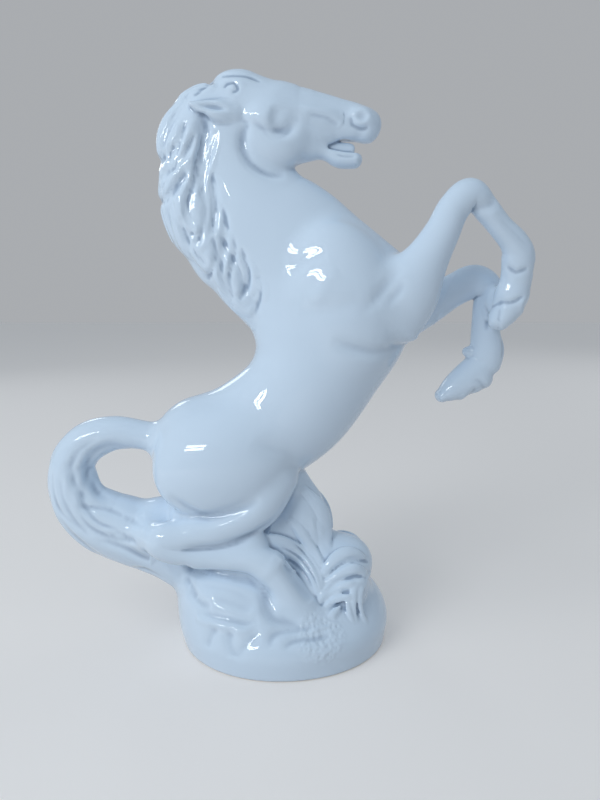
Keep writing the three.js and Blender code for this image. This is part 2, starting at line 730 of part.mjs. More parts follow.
// Hollow of the mould: the trunk and neck, less the wall on every side.
const hollow = () => {
  const count = 10;
  const path = [...TORSO.slice(1, 6), ...NECK.slice(1, 5)];
  const rings = path.map(([x, z, deep, wide], i) => {
    const before = path[Math.max(i - 1, 0)];
    const after = path[Math.min(i + 1, path.length - 1)];
    const length = Math.hypot(after[0] - before[0], after[1] - before[1]);
    const n = [-(after[1] - before[1]) / length, (after[0] - before[0]) / length];
    return Array.from({ length: count }, (_, m) => {
      const angle = (2 * Math.PI * m) / count;
      const out = (deep - CAST_WALL - 2.5) * Math.cos(angle);
      return [x + n[0] * out, (wide - CAST_WALL) * Math.sin(angle), z + n[1] * out];
    });
  });
  return ringed(rings);
};

const TAIL_LUTE = { x: TAIL_LUTE_X, z: 80, nx: 1, nz: 0 };
const HIND_LUTE = { x: 0, z: HIND_LUTE_Z, nx: 0, nz: 1 };
const CORE = hollow();
const CRUMB = 300; // chips of less than this volume, which a slanting cut can leave, are dressed off

const skinOf = (field, box, cell, wanted) => thinned(traced(field, box, cell), wanted);

// The surface moved outwards by the slip gap, to cut the seat of this casting into its neighbours.
const seatOf = ({ points, faces }) => {
  const normals = points.map(() => 0);
  const at = (v) => new THREE.Vector3(points[3 * v], points[3 * v + 1], points[3 * v + 2]);
  faces.forEach(([a, b, c]) => {
    const n = at(b).sub(at(a)).cross(at(c).sub(at(a)));
    [a, b, c].forEach((v) => n.toArray().forEach((m, i) => (normals[3 * v + i] += m)));
  });
  const side = enclosed({ points, faces }) > 0 ? LUTE_GAP : -LUTE_GAP;
  const moved = points.map((p, i) => {
    const v = 3 * Math.floor(i / 3);
    return p + (side * normals[i]) / Math.hypot(normals[v], normals[v + 1], normals[v + 2]);
  });
  return solid({ points: moved, faces });
};

// A body without the crumbs that are cut loose from it.
const dressed = (body) => {
  const { vertProperties, triVerts } = body.getMesh();
  const owner = Array.from({ length: vertProperties.length / 3 }, (_, i) => i);
  const root = (v) => {
    let r = v;
    while (owner[r] !== r) r = owner[r];
    owner[v] = r;
    return r;
  };
  for (let i = 0; i < triVerts.length; i += 3) {
    owner[root(triVerts[i])] = root(triVerts[i + 1]);
    owner[root(triVerts[i + 1])] = root(triVerts[i + 2]);
  }
  const chips = new Map();
  for (let i = 0; i < triVerts.length; i += 3) {
    const r = root(triVerts[i]);
    if (!chips.has(r)) chips.set(r, []);
    chips.get(r).push([...triVerts.slice(i, i + 3)]);
  }
  const points = Array.from(vertProperties);
  const faces = [...chips.values()]
    .filter((chip) => Math.abs(enclosed({ points, faces: chip })) > CRUMB)
    .flat();
  const used = new Map();
  const packed = faces.map((face) =>
    face.map((v) => {
      if (!used.has(v)) used.set(v, used.size);
      return used.get(v);
    })
  );
  return solid({ points: [...used.keys()].flatMap((v) => points.slice(3 * v, 3 * v + 3)), faces: packed });
};

const cutAway = (surface, ...tools) =>
  dressed(tools.reduce((rest, tool) => rest.subtract(tool), solid(surface)));

const headSkin = skinOf(horse, [-68, -26, 222, 52, 26, 288], FINE_CELL, FACETS.head);
const neckSkin = skinOf(horse, [-70, -34, 136, 68, 34, 268], FINE_CELL * 1.2, FACETS.neck);
const torsoSkin = skinOf(trunk, [-76, -40, 62, 70, 40, 214], MESH_CELL, FACETS.torso);
const rightForelegSkin = skinOf(horse, [50, -34, 112, 126, 12, 234], FINE_CELL, FACETS.foreleg);
const leftForelegSkin = skinOf(horse, [50, -6, 112, 126, 34, 234], FINE_CELL, FACETS.foreleg);
const rightHindSkin = skinOf(hindquarters, [-76, -44, 8, 34, 4, 82], FINE_CELL, FACETS.hind_leg);
const leftHindSkin = skinOf(hindquarters, [-76, -4, 8, 34, 44, 82], FINE_CELL, FACETS.hind_leg);
const tailSkin = skinOf(horse, [-132, -30, 12, -56, 30, 126], FINE_CELL * 1.2, FACETS.tail);
const moundSkin = skinOf(mound, [-76, -56, -9, 66, 56, 80], FINE_CELL * 1.2, FACETS.base_mound);
const clumpSkin = skinOf(clump, [-26, -36, -8, 60, 36, 104], FINE_CELL, FACETS.grass_clump);

const head = cutAway(headSkin, beyond(POLL_LUTE, -1), CORE);
const neck = cutAway(
  neckSkin,
  beyond(POLL_LUTE, 1),
  beyond(WITHERS_LUTE, -1),
  beyond(FORELEG_LUTE, 1),
  CORE
);
const torso = cutAway(
  torsoSkin,
  beyond(WITHERS_LUTE, 1),
  beyond(FORELEG_LUTE, 1),
  beyond(HIND_LUTE, -1),
  beyond(TAIL_LUTE, -1),
  CORE
);
const rightForeleg = cutAway(rightForelegSkin, beyond(FORELEG_LUTE, -1), besides(FORELEG_PARTING_Y, 1));
const leftForeleg = cutAway(leftForelegSkin, beyond(FORELEG_LUTE, -1), besides(FORELEG_PARTING_Y, -1));
const rightHindLeg = cutAway(rightHindSkin, beyond(HIND_LUTE, 1), beyond(TAIL_LUTE, -1), besides(0, 1));
const leftHindLeg = cutAway(leftHindSkin, beyond(HIND_LUTE, 1), beyond(TAIL_LUTE, -1), besides(0, -1));
const tail = cutAway(tailSkin, beyond(TAIL_LUTE, 1));

const cavity = ringed([
  oval(BASE_CENTRE_X, FOOT_RECESS + FLOOR_THICKNESS, 38, 32, 16),
  oval(BASE_CENTRE_X, FOOT_RECESS + FLOOR_THICKNESS + CAVITY_HEIGHT / 2, 34, 25, 16),
  oval(BASE_CENTRE_X, FOOT_RECESS + FLOOR_THICKNESS + CAVITY_HEIGHT, 22, 11, 16),
]);
const recess = ringed([
  oval(BASE_CENTRE_X, -40, BASE_LENGTH / 2 - FOOT_RIM, BASE_DEPTH / 2 - FOOT_RIM, 40),
  oval(BASE_CENTRE_X, FOOT_RECESS, BASE_LENGTH / 2 - FOOT_RIM, BASE_DEPTH / 2 - FOOT_RIM, 40),
]);
const drain = ringed([
  oval(BASE_CENTRE_X, -40, DRAIN_BORE / 2, DRAIN_BORE / 2, 20),
  oval(BASE_CENTRE_X, FOOT_RECESS + FLOOR_THICKNESS + 1, DRAIN_BORE / 2, DRAIN_BORE / 2, 20),
]);
const table = ringed([oval(0, -60, 300, 300, 8), oval(0, 0, 300, 300, 8)]);
const legSeats = [seatOf(rightHindSkin), seatOf(leftHindSkin)];
const baseMound = cutAway(
  moundSkin,
  ...legSeats,
  beyond(HIND_LUTE, 1),
  beyond(TAIL_LUTE, -1),
  table,
  recess,
  drain,
  cavity
);
const grass = cutAway(clumpSkin, seatOf(torsoSkin), ...legSeats, seatOf(moundSkin), table);

// Castings as meshes, the glaze colour being the same on all of them.
const figure = new THREE.Group();
figure.name = "rearing_horse";
const add = (name, body) => {
  const { vertProperties, triVerts, numProp } = body.getMesh();
  const positions = new Float32Array((vertProperties.length / numProp) * 3);
  const scale = FIGURE_HEIGHT / DRAWN_HEIGHT;
  for (let i = 0; i < positions.length / 3; i++) {
    for (let n = 0; n < 3; n++) positions[3 * i + n] = scale * vertProperties[numProp * i + n];
  }
  const geometry = new THREE.BufferGeometry();
  geometry.setAttribute("position", new THREE.BufferAttribute(positions, 3));
  geometry.setIndex(new THREE.BufferAttribute(new Uint32Array(triVerts), 1));
  const material = new THREE.MeshStandardMaterial({ color: 0xf2f3f5, roughness: 0.12, metalness: 0 });
  material.name = "white_glaze";
  const mesh = new THREE.Mesh(geometry, material);
  mesh.name = name;
  figure.add(mesh);
};
add("base_mound", baseMound);
add("grass_clump", grass);
add("torso", torso);
add("neck", neck);
add("head", head);
add("right_foreleg", rightForeleg);
add("left_foreleg", leftForeleg);
add("right_hind_leg", rightHindLeg);
add("left_hind_leg", leftHindLeg);
add("tail", tail);

export default figure;
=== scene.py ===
"""White porcelain figurine of a rearing horse, dressed for rendering.

The animal, the mound and the grass are sculpted as one body of clay: sections lofted along the limbs,
rounded lumps, locks of hair and blades of grass swept by Geometry Nodes, and strokes pressed in with a
tool. Each casting is then cut from that clay at its lute joints and glazed. Sculpting is in millimetres.
"""

import logging
import math
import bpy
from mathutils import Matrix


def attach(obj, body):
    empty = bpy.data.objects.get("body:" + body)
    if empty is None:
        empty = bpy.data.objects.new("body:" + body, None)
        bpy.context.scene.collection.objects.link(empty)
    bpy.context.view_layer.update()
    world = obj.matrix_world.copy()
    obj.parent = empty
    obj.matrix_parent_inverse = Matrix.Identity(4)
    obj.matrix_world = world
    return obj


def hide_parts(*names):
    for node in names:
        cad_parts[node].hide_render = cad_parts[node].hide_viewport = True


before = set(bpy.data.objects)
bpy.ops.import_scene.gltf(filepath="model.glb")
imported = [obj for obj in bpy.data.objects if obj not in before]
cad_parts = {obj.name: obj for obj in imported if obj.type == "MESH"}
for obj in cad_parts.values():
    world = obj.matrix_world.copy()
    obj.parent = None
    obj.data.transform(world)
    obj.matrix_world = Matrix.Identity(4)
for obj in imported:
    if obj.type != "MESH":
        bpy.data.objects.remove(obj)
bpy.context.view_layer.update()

from concurrent.futures import ThreadPoolExecutor
from dataclasses import dataclass, field
from enum import Enum
from typing import Callable, ClassVar, Sequence

import bmesh
import bpy
import numpy as np
import openvdb as vdb
from mathutils import Vector

log = logging.getLogger("figurine")

MM = 0.001
FAR = 12.0  # distances beyond this reach no blend
REACH = 2.5  # how far outside the outline a mark may lie
EYE = np.array([8.5, -315.0, 180.0])  # where the figurine is looked at from
NEAR_SIDE = 0.76  # share of the way from the eye to the middle plane where the clay begins
FAR_SIDE = 1.16  # the same where it ends
HAIR_VOXEL = 0.45  # lattice that swept locks and leaves are measured on
HAIR_PITCH = 0.0008  # metres from one section of a lock or leaf to the next
ROUGH = 1.0  # coarser clay while pieces are tried out
WORKERS = 4
SLOT = "white_glaze"

Station = tuple[float, ...]
Mark = tuple[float, float]


class Side(Enum):
    """Flank of the horse that a detail lies on."""

    RIGHT = -1.0
    LEFT = 1.0


def smooth_path(stations: Sequence[Station], steps: int) -> np.ndarray:
    """Rows on a smooth curve through the stations.

    Args:
        stations: Rows of equal length, in order along the curve.
        steps: Number of steps from one station to the next.

    Returns:
        The rows in between, with both ends kept.
    """
    rows = np.array(stations, float)
    padded = np.vstack([rows[:1], rows, rows[-1:]])
    out = []
    for i in range(len(rows) - 1):
        a, b, c, d = padded[i : i + 4]
        for t in np.arange(steps) / steps:
            square, cube = t * t, t * t * t
            bend = (2 * a - 5 * b + 4 * c - d) * square + (3 * b - a - 3 * c + d) * cube
            out.append(0.5 * (2 * b + (c - a) * t + bend))
    out.append(rows[-1])
    return np.array(out)


def away_from(low: np.ndarray, high: np.ndarray, points: np.ndarray) -> np.ndarray:
    """Distance of each point from a box, zero inside it."""
    gap = np.maximum(np.maximum(low - points, points - high), 0.0)
    return np.sqrt((gap * gap).sum(1))


class Shape:
    """Something solid that can be blended into the clay or carved out of it."""

    blend: float = 3.0
    carve: bool = False
    low: np.ndarray
    high: np.ndarray

    def distance(self, points: np.ndarray) -> np.ndarray:
        """Signed distance of the points from the surface, below zero inside."""
        raise NotImplementedError


@dataclass
class Loft(Shape):
    """Elliptical sections along a curve, round at its ends or flat across the last one."""

    stations: Sequence[Station]
    blend: float = 3.0
    carve: bool = False
    flat: bool = False
    relief: Callable[[np.ndarray, np.ndarray], np.ndarray] | None = None

    COARSE: ClassVar[int] = 3
    FINE: ClassVar[int] = 8

    def __post_init__(self) -> None:
        """Works out the legs between the sections, and the smooth curve through them."""
        rows = [tuple(s) + (0.0,) * (5 - len(s)) for s in self.stations]
        self.path = smooth_path(rows, self.COARSE)
        spots = self.path[:, [0, 4, 1]]
        reach = self.path[:, 2:4].max(1)[:, None]
        self.low = (spots - reach).min(0)
        self.high = (spots + reach).max(0)
        curve = smooth_path(rows, self.COARSE * self.FINE)
        centre = curve[:, [0, 4, 1]]
        along = np.gradient(centre, axis=0)
        speed = np.linalg.norm(along, axis=1)[:, None]
        along /= speed
        side = np.array([0.0, 1.0, 0.0]) - along * along[:, 1:2]
        side /= np.linalg.norm(side, axis=1)[:, None]
        self.table = np.hstack([centre, along, side, np.cross(along, side), curve[:, 2:4], speed])
        self.turn = np.vstack([np.diff(along, axis=0), np.zeros((1, 3))])

    def distance(self, points: np.ndarray) -> np.ndarray:
        """Measures how far the points are from the loft.

        Args:
            points: Rows of x, y and z.

        Returns:
            Signed distances, below zero inside.
        """
        best, place = self._nearest_leg(points)
        close = np.nonzero(np.abs(best) < FAR + 2)[0]
        if len(close):
            best[close], around, station = self._settled(points[close], place[close])
            if self.relief:
                best[close] += self.relief(around, station)
        if self.flat:
            end = self.table[-1]
            best = np.maximum(best, (points - end[:3]) @ end[3:6])
        return best

    def _nearest_leg(self, points: np.ndarray) -> tuple[np.ndarray, np.ndarray]:
        """Finds the nearest straight leg of each point.

        Args:
            points: Rows of x, y and z.

        Returns:
            Distances from the legs, and places along them counted in legs.
        """
        best = np.full(len(points), 1e3)
        place = np.zeros(len(points))
        last = len(self.path) - 2
        for i in range(last + 1):
            start = self.path[i, [0, 4, 1]]
            along = self.path[i + 1, [0, 4, 1]] - start
            length = np.linalg.norm(along)
            radius = length / 2 + self.path[i : i + 2, 2:4].max() * 1.1
            hub = np.linalg.norm(points - (start + along / 2), axis=1) - radius
            near = np.nonzero(hub < best)[0]
            if not len(near):
                continue
            t = along / length
            s = np.array([0.0, 1.0, 0.0]) - t * t[1]
            s /= np.linalg.norm(s)
            n = np.cross(t, s)
            p = points[near] - start
            run = p @ t
            u = np.clip(run / length, 0, 1)
            over = run - u * length
            if self.flat and i == last:
                over = np.where(u >= 1, 0.0, over)
            deep = self.path[i, 2] + (self.path[i + 1, 2] - self.path[i, 2]) * u
            wide = self.path[i, 3] + (self.path[i + 1, 3] - self.path[i, 3]) * u
            d = self._from_section(p @ n, p @ s, over, deep, wide)
            won = d < best[near]
            best[near[won]] = d[won]
            place[near[won]] = i + u[won]
        return best, place

    @staticmethod
    def _from_section(
        dn: np.ndarray, ds: np.ndarray, over: np.ndarray, deep: np.ndarray, wide: np.ndarray
    ) -> np.ndarray:
        """Measures how far points are from a section.

        Args:
            dn: Offsets from its middle in its own plane, across.
            ds: Offsets from its middle in its own plane, sideways.
            over: Offsets beyond its plane.
            deep: Half sizes across.
            wide: Half sizes sideways.

        Returns:
            Signed distances, below zero inside.
        """
        cap = np.minimum(deep, wide)
        a, b, c = dn / deep, ds / wide, over / cap
        q = np.sqrt(a * a + b * b + c * c)
        g = np.sqrt((a / deep) ** 2 + (b / wide) ** 2 + (c / cap) ** 2)
        return np.where(g < 1e-9, -cap, q * (q - 1) / np.maximum(g, 1e-9))

    def _settled(self, points: np.ndarray, place: np.ndarray) -> tuple[np.ndarray, np.ndarray, np.ndarray]:
        """Measures again with the section turned smoothly along the curve.

        Args:
            points: Rows of x, y and z.
            place: First guess of the place along the legs.

        Returns:
            Signed distances, angles round the section, and places along the stations.
        """
        top = len(self.table) - 1
        w = place * self.FINE
        for _ in range(4):
            row, turn = self._row(w), self.turn[np.minimum(w.astype(int), top - 1)]
            gap = points - row[:, :3]
            miss = (gap * row[:, 3:6]).sum(1)
            rate = np.maximum(row[:, 14] - (gap * turn).sum(1), 0.4 * row[:, 14])
            w = np.clip(w + np.clip(miss / rate, -4, 4), 0, top)
        row = self._row(w)
        gap = points - row[:, :3]
        over = (gap * row[:, 3:6]).sum(1)
        free = ((w <= 0) & (over < 0)) | ((w >= top) & (over > 0) & (not self.flat))
        over = np.where(free, over, 0.0)
        dn, ds = (gap * row[:, 9:12]).sum(1), (gap * row[:, 6:9]).sum(1)
        d = self._from_section(dn, ds, over, row[:, 12], row[:, 13])
        return d, np.arctan2(ds / row[:, 13], dn / row[:, 12]), w / self.FINE

    def _row(self, w: np.ndarray) -> np.ndarray:
        """Reads the table of the smooth curve.

        Args:
            w: Places between its rows.

        Returns:
            A blended row for each place.
        """
        i = np.minimum(w.astype(int), len(self.table) - 2)
        f = (w - i)[:, None]
        return self.table[i] * (1 - f) + self.table[i + 1] * f


@dataclass
class Lump(Shape):
    """Ellipsoid, tilted in the middle plane and then turned about the vertical, in degrees."""

    centre: tuple[float, float, float]
    radii: tuple[float, float, float]
    tilt: float = 0.0
    blend: float = 3.0
    carve: bool = False
    turn: float = 0.0

    def __post_init__(self) -> None:
        """Works out the axes of the ellipsoid."""
        x, z, y = self.centre
        self.hub = np.array([x, y, z])
        c, s = math.cos(math.radians(self.tilt)), math.sin(math.radians(self.tilt))
        k, m = math.cos(math.radians(self.turn)), math.sin(math.radians(self.turn))
        axes = np.array([[c, 0, s], [-s, 0, c], [0, 1, 0]])
        spin = np.array([[k, -m, 0], [m, k, 0], [0, 0, 1]])
        self.axes = axes @ spin.T
        reach = np.sqrt(((self.axes * np.array(self.radii)[:, None]) ** 2).sum(0))
        self.low = self.hub - reach
        self.high = self.hub + reach

    def distance(self, points: np.ndarray) -> np.ndarray:
        """Measures how far the points are from the ellipsoid.

        Args:
            points: Rows of x, y and z.

        Returns:
            Signed distances, below zero inside.
        """
        u = (points - self.hub) @ self.axes.T / np.array(self.radii)
        q = np.sqrt((u * u).sum(1))
        g = np.sqrt(((u / np.array(self.radii)) ** 2).sum(1))
        return np.where(g < 1e-9, -min(self.radii), q * (q - 1) / np.maximum(g, 1e-9))


@dataclass
class Grid:
    """Values on a regular lattice of voxels, read in between by blending the eight nearest."""

    low: np.ndarray
    voxel: float
    values: np.ndarray

    def read(self, points: np.ndarray) -> np.ndarray:
        """Reads the lattice.

        Args:
            points: Rows of x, y and z. Those outside the lattice are read at its rim.

        Returns:
            The value at each point.
        """
        at = (points - self.low) / self.voxel
        top = np.array(self.values.shape) - 1.001
        at = np.clip(at, 0, top)
        base = at.astype(int)
        f = at - base
        flat = self.values.ravel()
        ny, nz = self.values.shape[1], self.values.shape[2]
        home = (base[:, 0] * ny + base[:, 1]) * nz + base[:, 2]
        total = np.zeros(len(points))
        for dx in (0, 1):
            wx = f[:, 0] if dx else 1 - f[:, 0]
            for dy in (0, 1):
                wy = f[:, 1] if dy else 1 - f[:, 1]
                for dz in (0, 1):
                    wz = f[:, 2] if dz else 1 - f[:, 2]
                    total += wx * wy * wz * flat[home + (dx * ny + dy) * nz + dz]
        return total


class Modelled(Shape):
    """A mesh, such as swept locks of hair, that is pressed into the clay."""

    MARGIN: ClassVar[float] = 5.0
    BAND: ClassVar[float] = 4.5

    def __init__(self, corners: np.ndarray, triangles: np.ndarray, voxel: float, blend: float) -> None:
        """Measures distances to the mesh on a lattice.

        Args:
            corners: Vertices in millimetres.
            triangles: Corner numbers of each triangle.
            voxel: Pitch of the lattice.
            blend: Radius over which the mesh melts into the clay.
        """
        self.blend = blend
        first = np.floor((corners.min(0) - self.MARGIN) / voxel).astype(int)
        last = np.ceil((corners.max(0) + self.MARGIN) / voxel).astype(int)
        level = vdb.FloatGrid.createLevelSetFromPolygons(
            corners.astype(np.float32),
            triangles=triangles.astype(np.uint32),
            transform=vdb.createLinearTransform(voxelSize=voxel),
            halfWidth=self.BAND / voxel,
        )
        values = np.full(tuple(last - first + 1), level.background, np.float32)
        level.copyToArray(values, ijk=tuple(int(i) for i in first))
        self.grid = Grid(first * voxel, voxel, values)
        self.low = corners.min(0)
        self.high = corners.max(0)

    def distance(self, points: np.ndarray) -> np.ndarray:
        """Signed distance of the points from the mesh, near it."""
        return self.grid.read(points)


@dataclass
class Stroke:
    """Line drawn on the surface with a tool: pressed in where depth is above zero, raised where below."""

    spots: np.ndarray
    depth: float
    width: float
    fade: float = 0.35

    def __post_init__(self) -> None:
        """Measures the line."""
        if len(self.spots) < 2:
            return
        margin = 2.6 * self.width
        self.low = self.spots.min(0) - margin
        self.high = self.spots.max(0) + margin
        steps = np.linalg.norm(np.diff(self.spots, axis=0), axis=1)
        self.run = np.concatenate([[0.0], np.cumsum(steps)])

    def height(self, points: np.ndarray) -> np.ndarray:
        """Works out what the stroke adds to the distance.

        Args:
            points: Rows of x, y and z.

        Returns:
            Above zero where clay is pressed in, below zero where it is raised.
        """
        best = np.full(len(points), 1e9)
        place = np.zeros(len(points))
        for i in range(len(self.spots) - 1):
            a, b = self.spots[i], self.spots[i + 1]
            along = b - a
            size = max(along @ along, 1e-9)
            u = np.clip((points - a) @ along / size, 0, 1)
            gap = points - a - u[:, None] * along
            d = (gap * gap).sum(1)
            won = d < best
            best[won] = d[won]
            place[won] = self.run[i] + u[won] * math.sqrt(size)
        total = max(self.run[-1], 1e-6)
        ends = np.minimum(place, total - place) / (self.fade * total + 1e-6)
        swell = np.clip(ends, 0, 1)
        return self.depth * swell * (2 - swell) * np.exp(-best / self.width**2)


class Clay:
    """Shapes blended together, with strokes drawn on them."""

    LANDING_STEPS: ClassVar[int] = 110
    DRAPING_STEPS: ClassVar[int] = 90
    BLEND_REACH: ClassVar[float] = 14.0

    def __init__(self, shapes: Sequence[Shape], strokes: Sequence[Stroke] = ()) -> None:
        """Keeps the shapes in the order that they are worked in."""
        self.shapes = list(shapes)
        self.strokes = list(strokes)

    def within(self, low: np.ndarray, high: np.ndarray) -> "Clay":
        """Leaves out what doesn't reach into a box.

        Args:
            low: Lowest corner of the box.
            high: Highest corner of the box.

        Returns:
            The rest of the clay.
        """
        reach = self.BLEND_REACH

        def meets(item: Shape | Stroke) -> bool:
            """Whether the item reaches into the box."""
            return bool(((item.low - reach < high) & (item.high + reach > low)).all())

        return Clay([s for s in self.shapes if meets(s)], [s for s in self.strokes if meets(s)])

    def distance(self, points: np.ndarray) -> np.ndarray:
        """Measures how far the points are from the skin of the clay.

        Args:
            points: Rows of x, y and z.

        Returns:
            Signed distances, below zero inside, and FAR where nothing is near.
        """
        f = np.full(len(points), FAR)
        for shape in self.shapes:
            away = away_from(shape.low, shape.high, points)
            k = shape.blend
            near = np.nonzero(away < (k - f if shape.carve else f + k))[0]
            if not len(near):
                continue
            g = shape.distance(points[near])
            if shape.carve:
                g = -g
            h = np.maximum(k - np.abs(f[near] - g), 0) / k
            melt = h * h * k / 4
            f[near] = np.maximum(f[near], g) + melt if shape.carve else np.minimum(f[near], g) - melt
        for stroke in self.strokes:
            inside = ((points > stroke.low) & (points < stroke.high)).all(1) & (np.abs(f) < 5)
            near = np.nonzero(inside)[0]
            if len(near):
                f[near] += stroke.height(points[near])
        return f

    def slope(self, points: np.ndarray, step: float = 0.2) -> np.ndarray:
        """Finds which way the clay faces.

        Args:
            points: Rows of x, y and z.
            step: Half the length over which the slope is taken.

        Returns:
            A unit vector out of the clay for each point.
        """
        rows = []
        for axis in np.eye(3) * step:
            rows.append(self.distance(points + axis) - self.distance(points - axis))
        g = np.stack(rows, 1)
        return g / np.maximum(np.linalg.norm(g, axis=1), 1e-9)[:, None]

    def landed(self, marks: np.ndarray, side: Side) -> np.ndarray:
        """Points of the skin that lie behind marks in the middle plane.

        Args:
            marks: Rows of x and z, as they are seen from the eye against the middle plane.
            side: Flank that is looked at. The left one is looked at from the mirrored eye.

        Returns:
            Rows of x, y and z. A mark just outside the outline lands beside it, and one farther off is
            left out.
        """
        eye = EYE * np.array([1.0, -side.value, 1.0])
        target = np.stack([marks[:, 0], np.zeros(len(marks)), marks[:, 1]], 1)
        depth = np.linspace(NEAR_SIDE, FAR_SIDE, self.LANDING_STEPS)
        rays = eye + (target - eye)[:, None] * depth[None, :, None]
        f = self.distance(rays.reshape(-1, 3)).reshape(len(marks), -1)
        inside = f < 0
        hit = inside.any(1)
        first = np.maximum(inside.argmax(1), 1)
        rows = np.arange(len(marks))
        a, b = f[rows, first - 1], f[rows, first]
        t = (a / np.maximum(a - b, 1e-9))[:, None]
        landed = rays[rows, first - 1] * (1 - t) + rays[rows, first] * t
        closest = f.argmin(1)
        landed = np.where(hit[:, None], landed, rays[rows, closest])
        return landed[hit | (f[rows, closest] < REACH)]

    def draped(self, marks: np.ndarray, side: Side) -> np.ndarray:
        """One point on or beside the skin for each mark, so that a strand runs on across the outline.

        Args:
            marks: Rows of x and z, as they are seen from the eye against the middle plane.
            side: Flank that is looked at.

        Returns:
            Rows of x, y and z, or none where no mark meets the clay.
        """
        eye = EYE * np.array([1.0, -side.value, 1.0])
        target = np.stack([marks[:, 0], np.zeros(len(marks)), marks[:, 1]], 1)
        depth = np.linspace(NEAR_SIDE, 1.0, self.DRAPING_STEPS)
        rays = eye + (target - eye)[:, None] * depth[None, :, None]
        inside = self.distance(rays.reshape(-1, 3)).reshape(len(marks), -1) < 0
        hit = np.nonzero(inside.any(1))[0]
        if not len(hit):
            return np.zeros((0, 3))
        share = np.interp(np.arange(len(marks)), hit, depth[inside[hit].argmax(1)])
        for _ in range(3):
            padded = np.concatenate([share[:1], share, share[-1:]])
            share = (padded[:-2] + 2 * share + padded[2:]) / 4
        return eye + (target - eye) * share[:, None]

    def drawn(
        self, marks: Sequence[Mark], side: Side, depth: float, width: float, fade: float = 0.35
    ) -> Stroke:
        """A stroke over the skin along marks in the middle plane."""
        path = smooth_path(marks, 5)
        return Stroke(self.landed(path, side), depth, width, fade)


def sampled(clay: Clay, low: np.ndarray, high: np.ndarray, voxel: float) -> Grid:
    """Distances to the skin of the clay in a box, exact only near the skin.

    Args:
        clay: What is measured.
        low: Lowest corner of the box.
        high: Highest corner of the box.
        voxel: Pitch of the lattice.

    Returns:
        The lattice, with far values cut off.
    """
    local = clay.within(low, high)
    first = np.floor(low / voxel).astype(int)
    counts = (np.ceil((high / voxel - first) / 8) * 8).astype(int)
    origin = first * voxel
    values = None
    for step in (8, 4, 2, 1):
        shape = tuple(counts // step)
        if values is None:
            values = np.zeros(shape, np.float32)
            reach = np.inf
        else:
            values = values.repeat(2, 0).repeat(2, 1).repeat(2, 2)
            reach = 1.3 * math.sqrt(3) * (2 * step - 1) / 2 * voxel + 2.6 * voxel
        cells = np.nonzero(np.abs(values.ravel()) < reach)[0]
        i, j, k = np.unravel_index(cells, shape)
        centre = np.stack([i, j, k], 1) * step + (step - 1) / 2
        flat = values.ravel()
        parts = np.array_split(np.arange(len(cells)), max(WORKERS, len(cells) // 30000))
        with ThreadPoolExecutor(WORKERS) as pool:
            worked = pool.map(lambda part: local.distance(origin + centre[part] * voxel), parts)
            for part, found in zip(parts, worked):
                flat[cells[part]] = found
        values = flat.reshape(shape)
    cut = 3.5 * voxel
    return Grid(origin, voxel, np.clip(values, -cut, cut))


@dataclass
class Skin:
    """Triangles with a normal at each corner, and a hollowness there that darkens the glaze, both as glaze
    lying thicker and as painted shade in creases.
    """

    spots: np.ndarray
    normals: np.ndarray
    # Hollowness at each corner; it darkens the glaze as glaze lying thicker and as painted shade in creases.
    pooling_and_shade: np.ndarray
    faces: np.ndarray

    def parted(self, side: np.ndarray) -> "Skin":
        """Cuts the skin in two.

        Args:
            side: A value at each corner. The cut runs exactly where it is zero.

        Returns:
            The part where it is above zero.
        """
        side = np.where(np.abs(side) < 1e-6, 1e-6, side)
        keep = side > 0
        inside = keep[self.faces].sum(1)
        whole = self.faces[inside == 3]
        mixed = self.faces[(inside == 1) | (inside == 2)]
        if not len(mixed):
            return self.packed(whole)
        lone_in = keep[mixed].sum(1) == 1
        odd = np.where(lone_in[:, None], keep[mixed], ~keep[mixed]).argmax(1)
        rows = np.arange(len(mixed))
        a = mixed[rows, odd]
        b = mixed[rows, (odd + 1) % 3]
        c = mixed[rows, (odd + 2) % 3]
        pairs = np.sort(np.concatenate([np.stack([a, b], 1), np.stack([a, c], 1)]), 1)
        edges, which = np.unique(pairs, axis=0, return_inverse=True)
        which = which.reshape(-1) + len(self.spots)
        ab, ac = which[: len(mixed)], which[len(mixed) :]
        s0, s1 = side[edges[:, 0]], side[edges[:, 1]]
        t = (s0 / (s0 - s1))[:, None]

        def between(values: np.ndarray) -> np.ndarray:
            """Values of the corners, read where the cut crosses the edges."""
            return values[edges[:, 0]] * (1 - t) + values[edges[:, 1]] * t

        normals = between(self.normals)
        normals /= np.linalg.norm(normals, axis=1)[:, None]
        corner = np.stack([a, ab, ac], 1)[lone_in]
        rest_a = np.stack([ab, b, c], 1)[~lone_in]
        rest_b = np.stack([ab, c, ac], 1)[~lone_in]
        return Skin(
            np.vstack([self.spots, between(self.spots)]),
            np.vstack([self.normals, normals]),
            np.concatenate([self.pooling_and_shade, between(self.pooling_and_shade[:, None])[:, 0]]),
            np.vstack([whole, corner, rest_a, rest_b]),
        ).packed()

    def packed(self, faces: np.ndarray | None = None) -> "Skin":
        """Leaves out the corners that no face uses.

        Args:
            faces: Faces that stay, or nothing for all of them.

        Returns:
            The same skin with its corners counted anew.
        """
        faces = self.faces if faces is None else faces
        used, renumbered = np.unique(faces, return_inverse=True)
        return Skin(self.spots[used], self.normals[used], self.pooling_and_shade[used], renumbered.reshape(-1, 3))


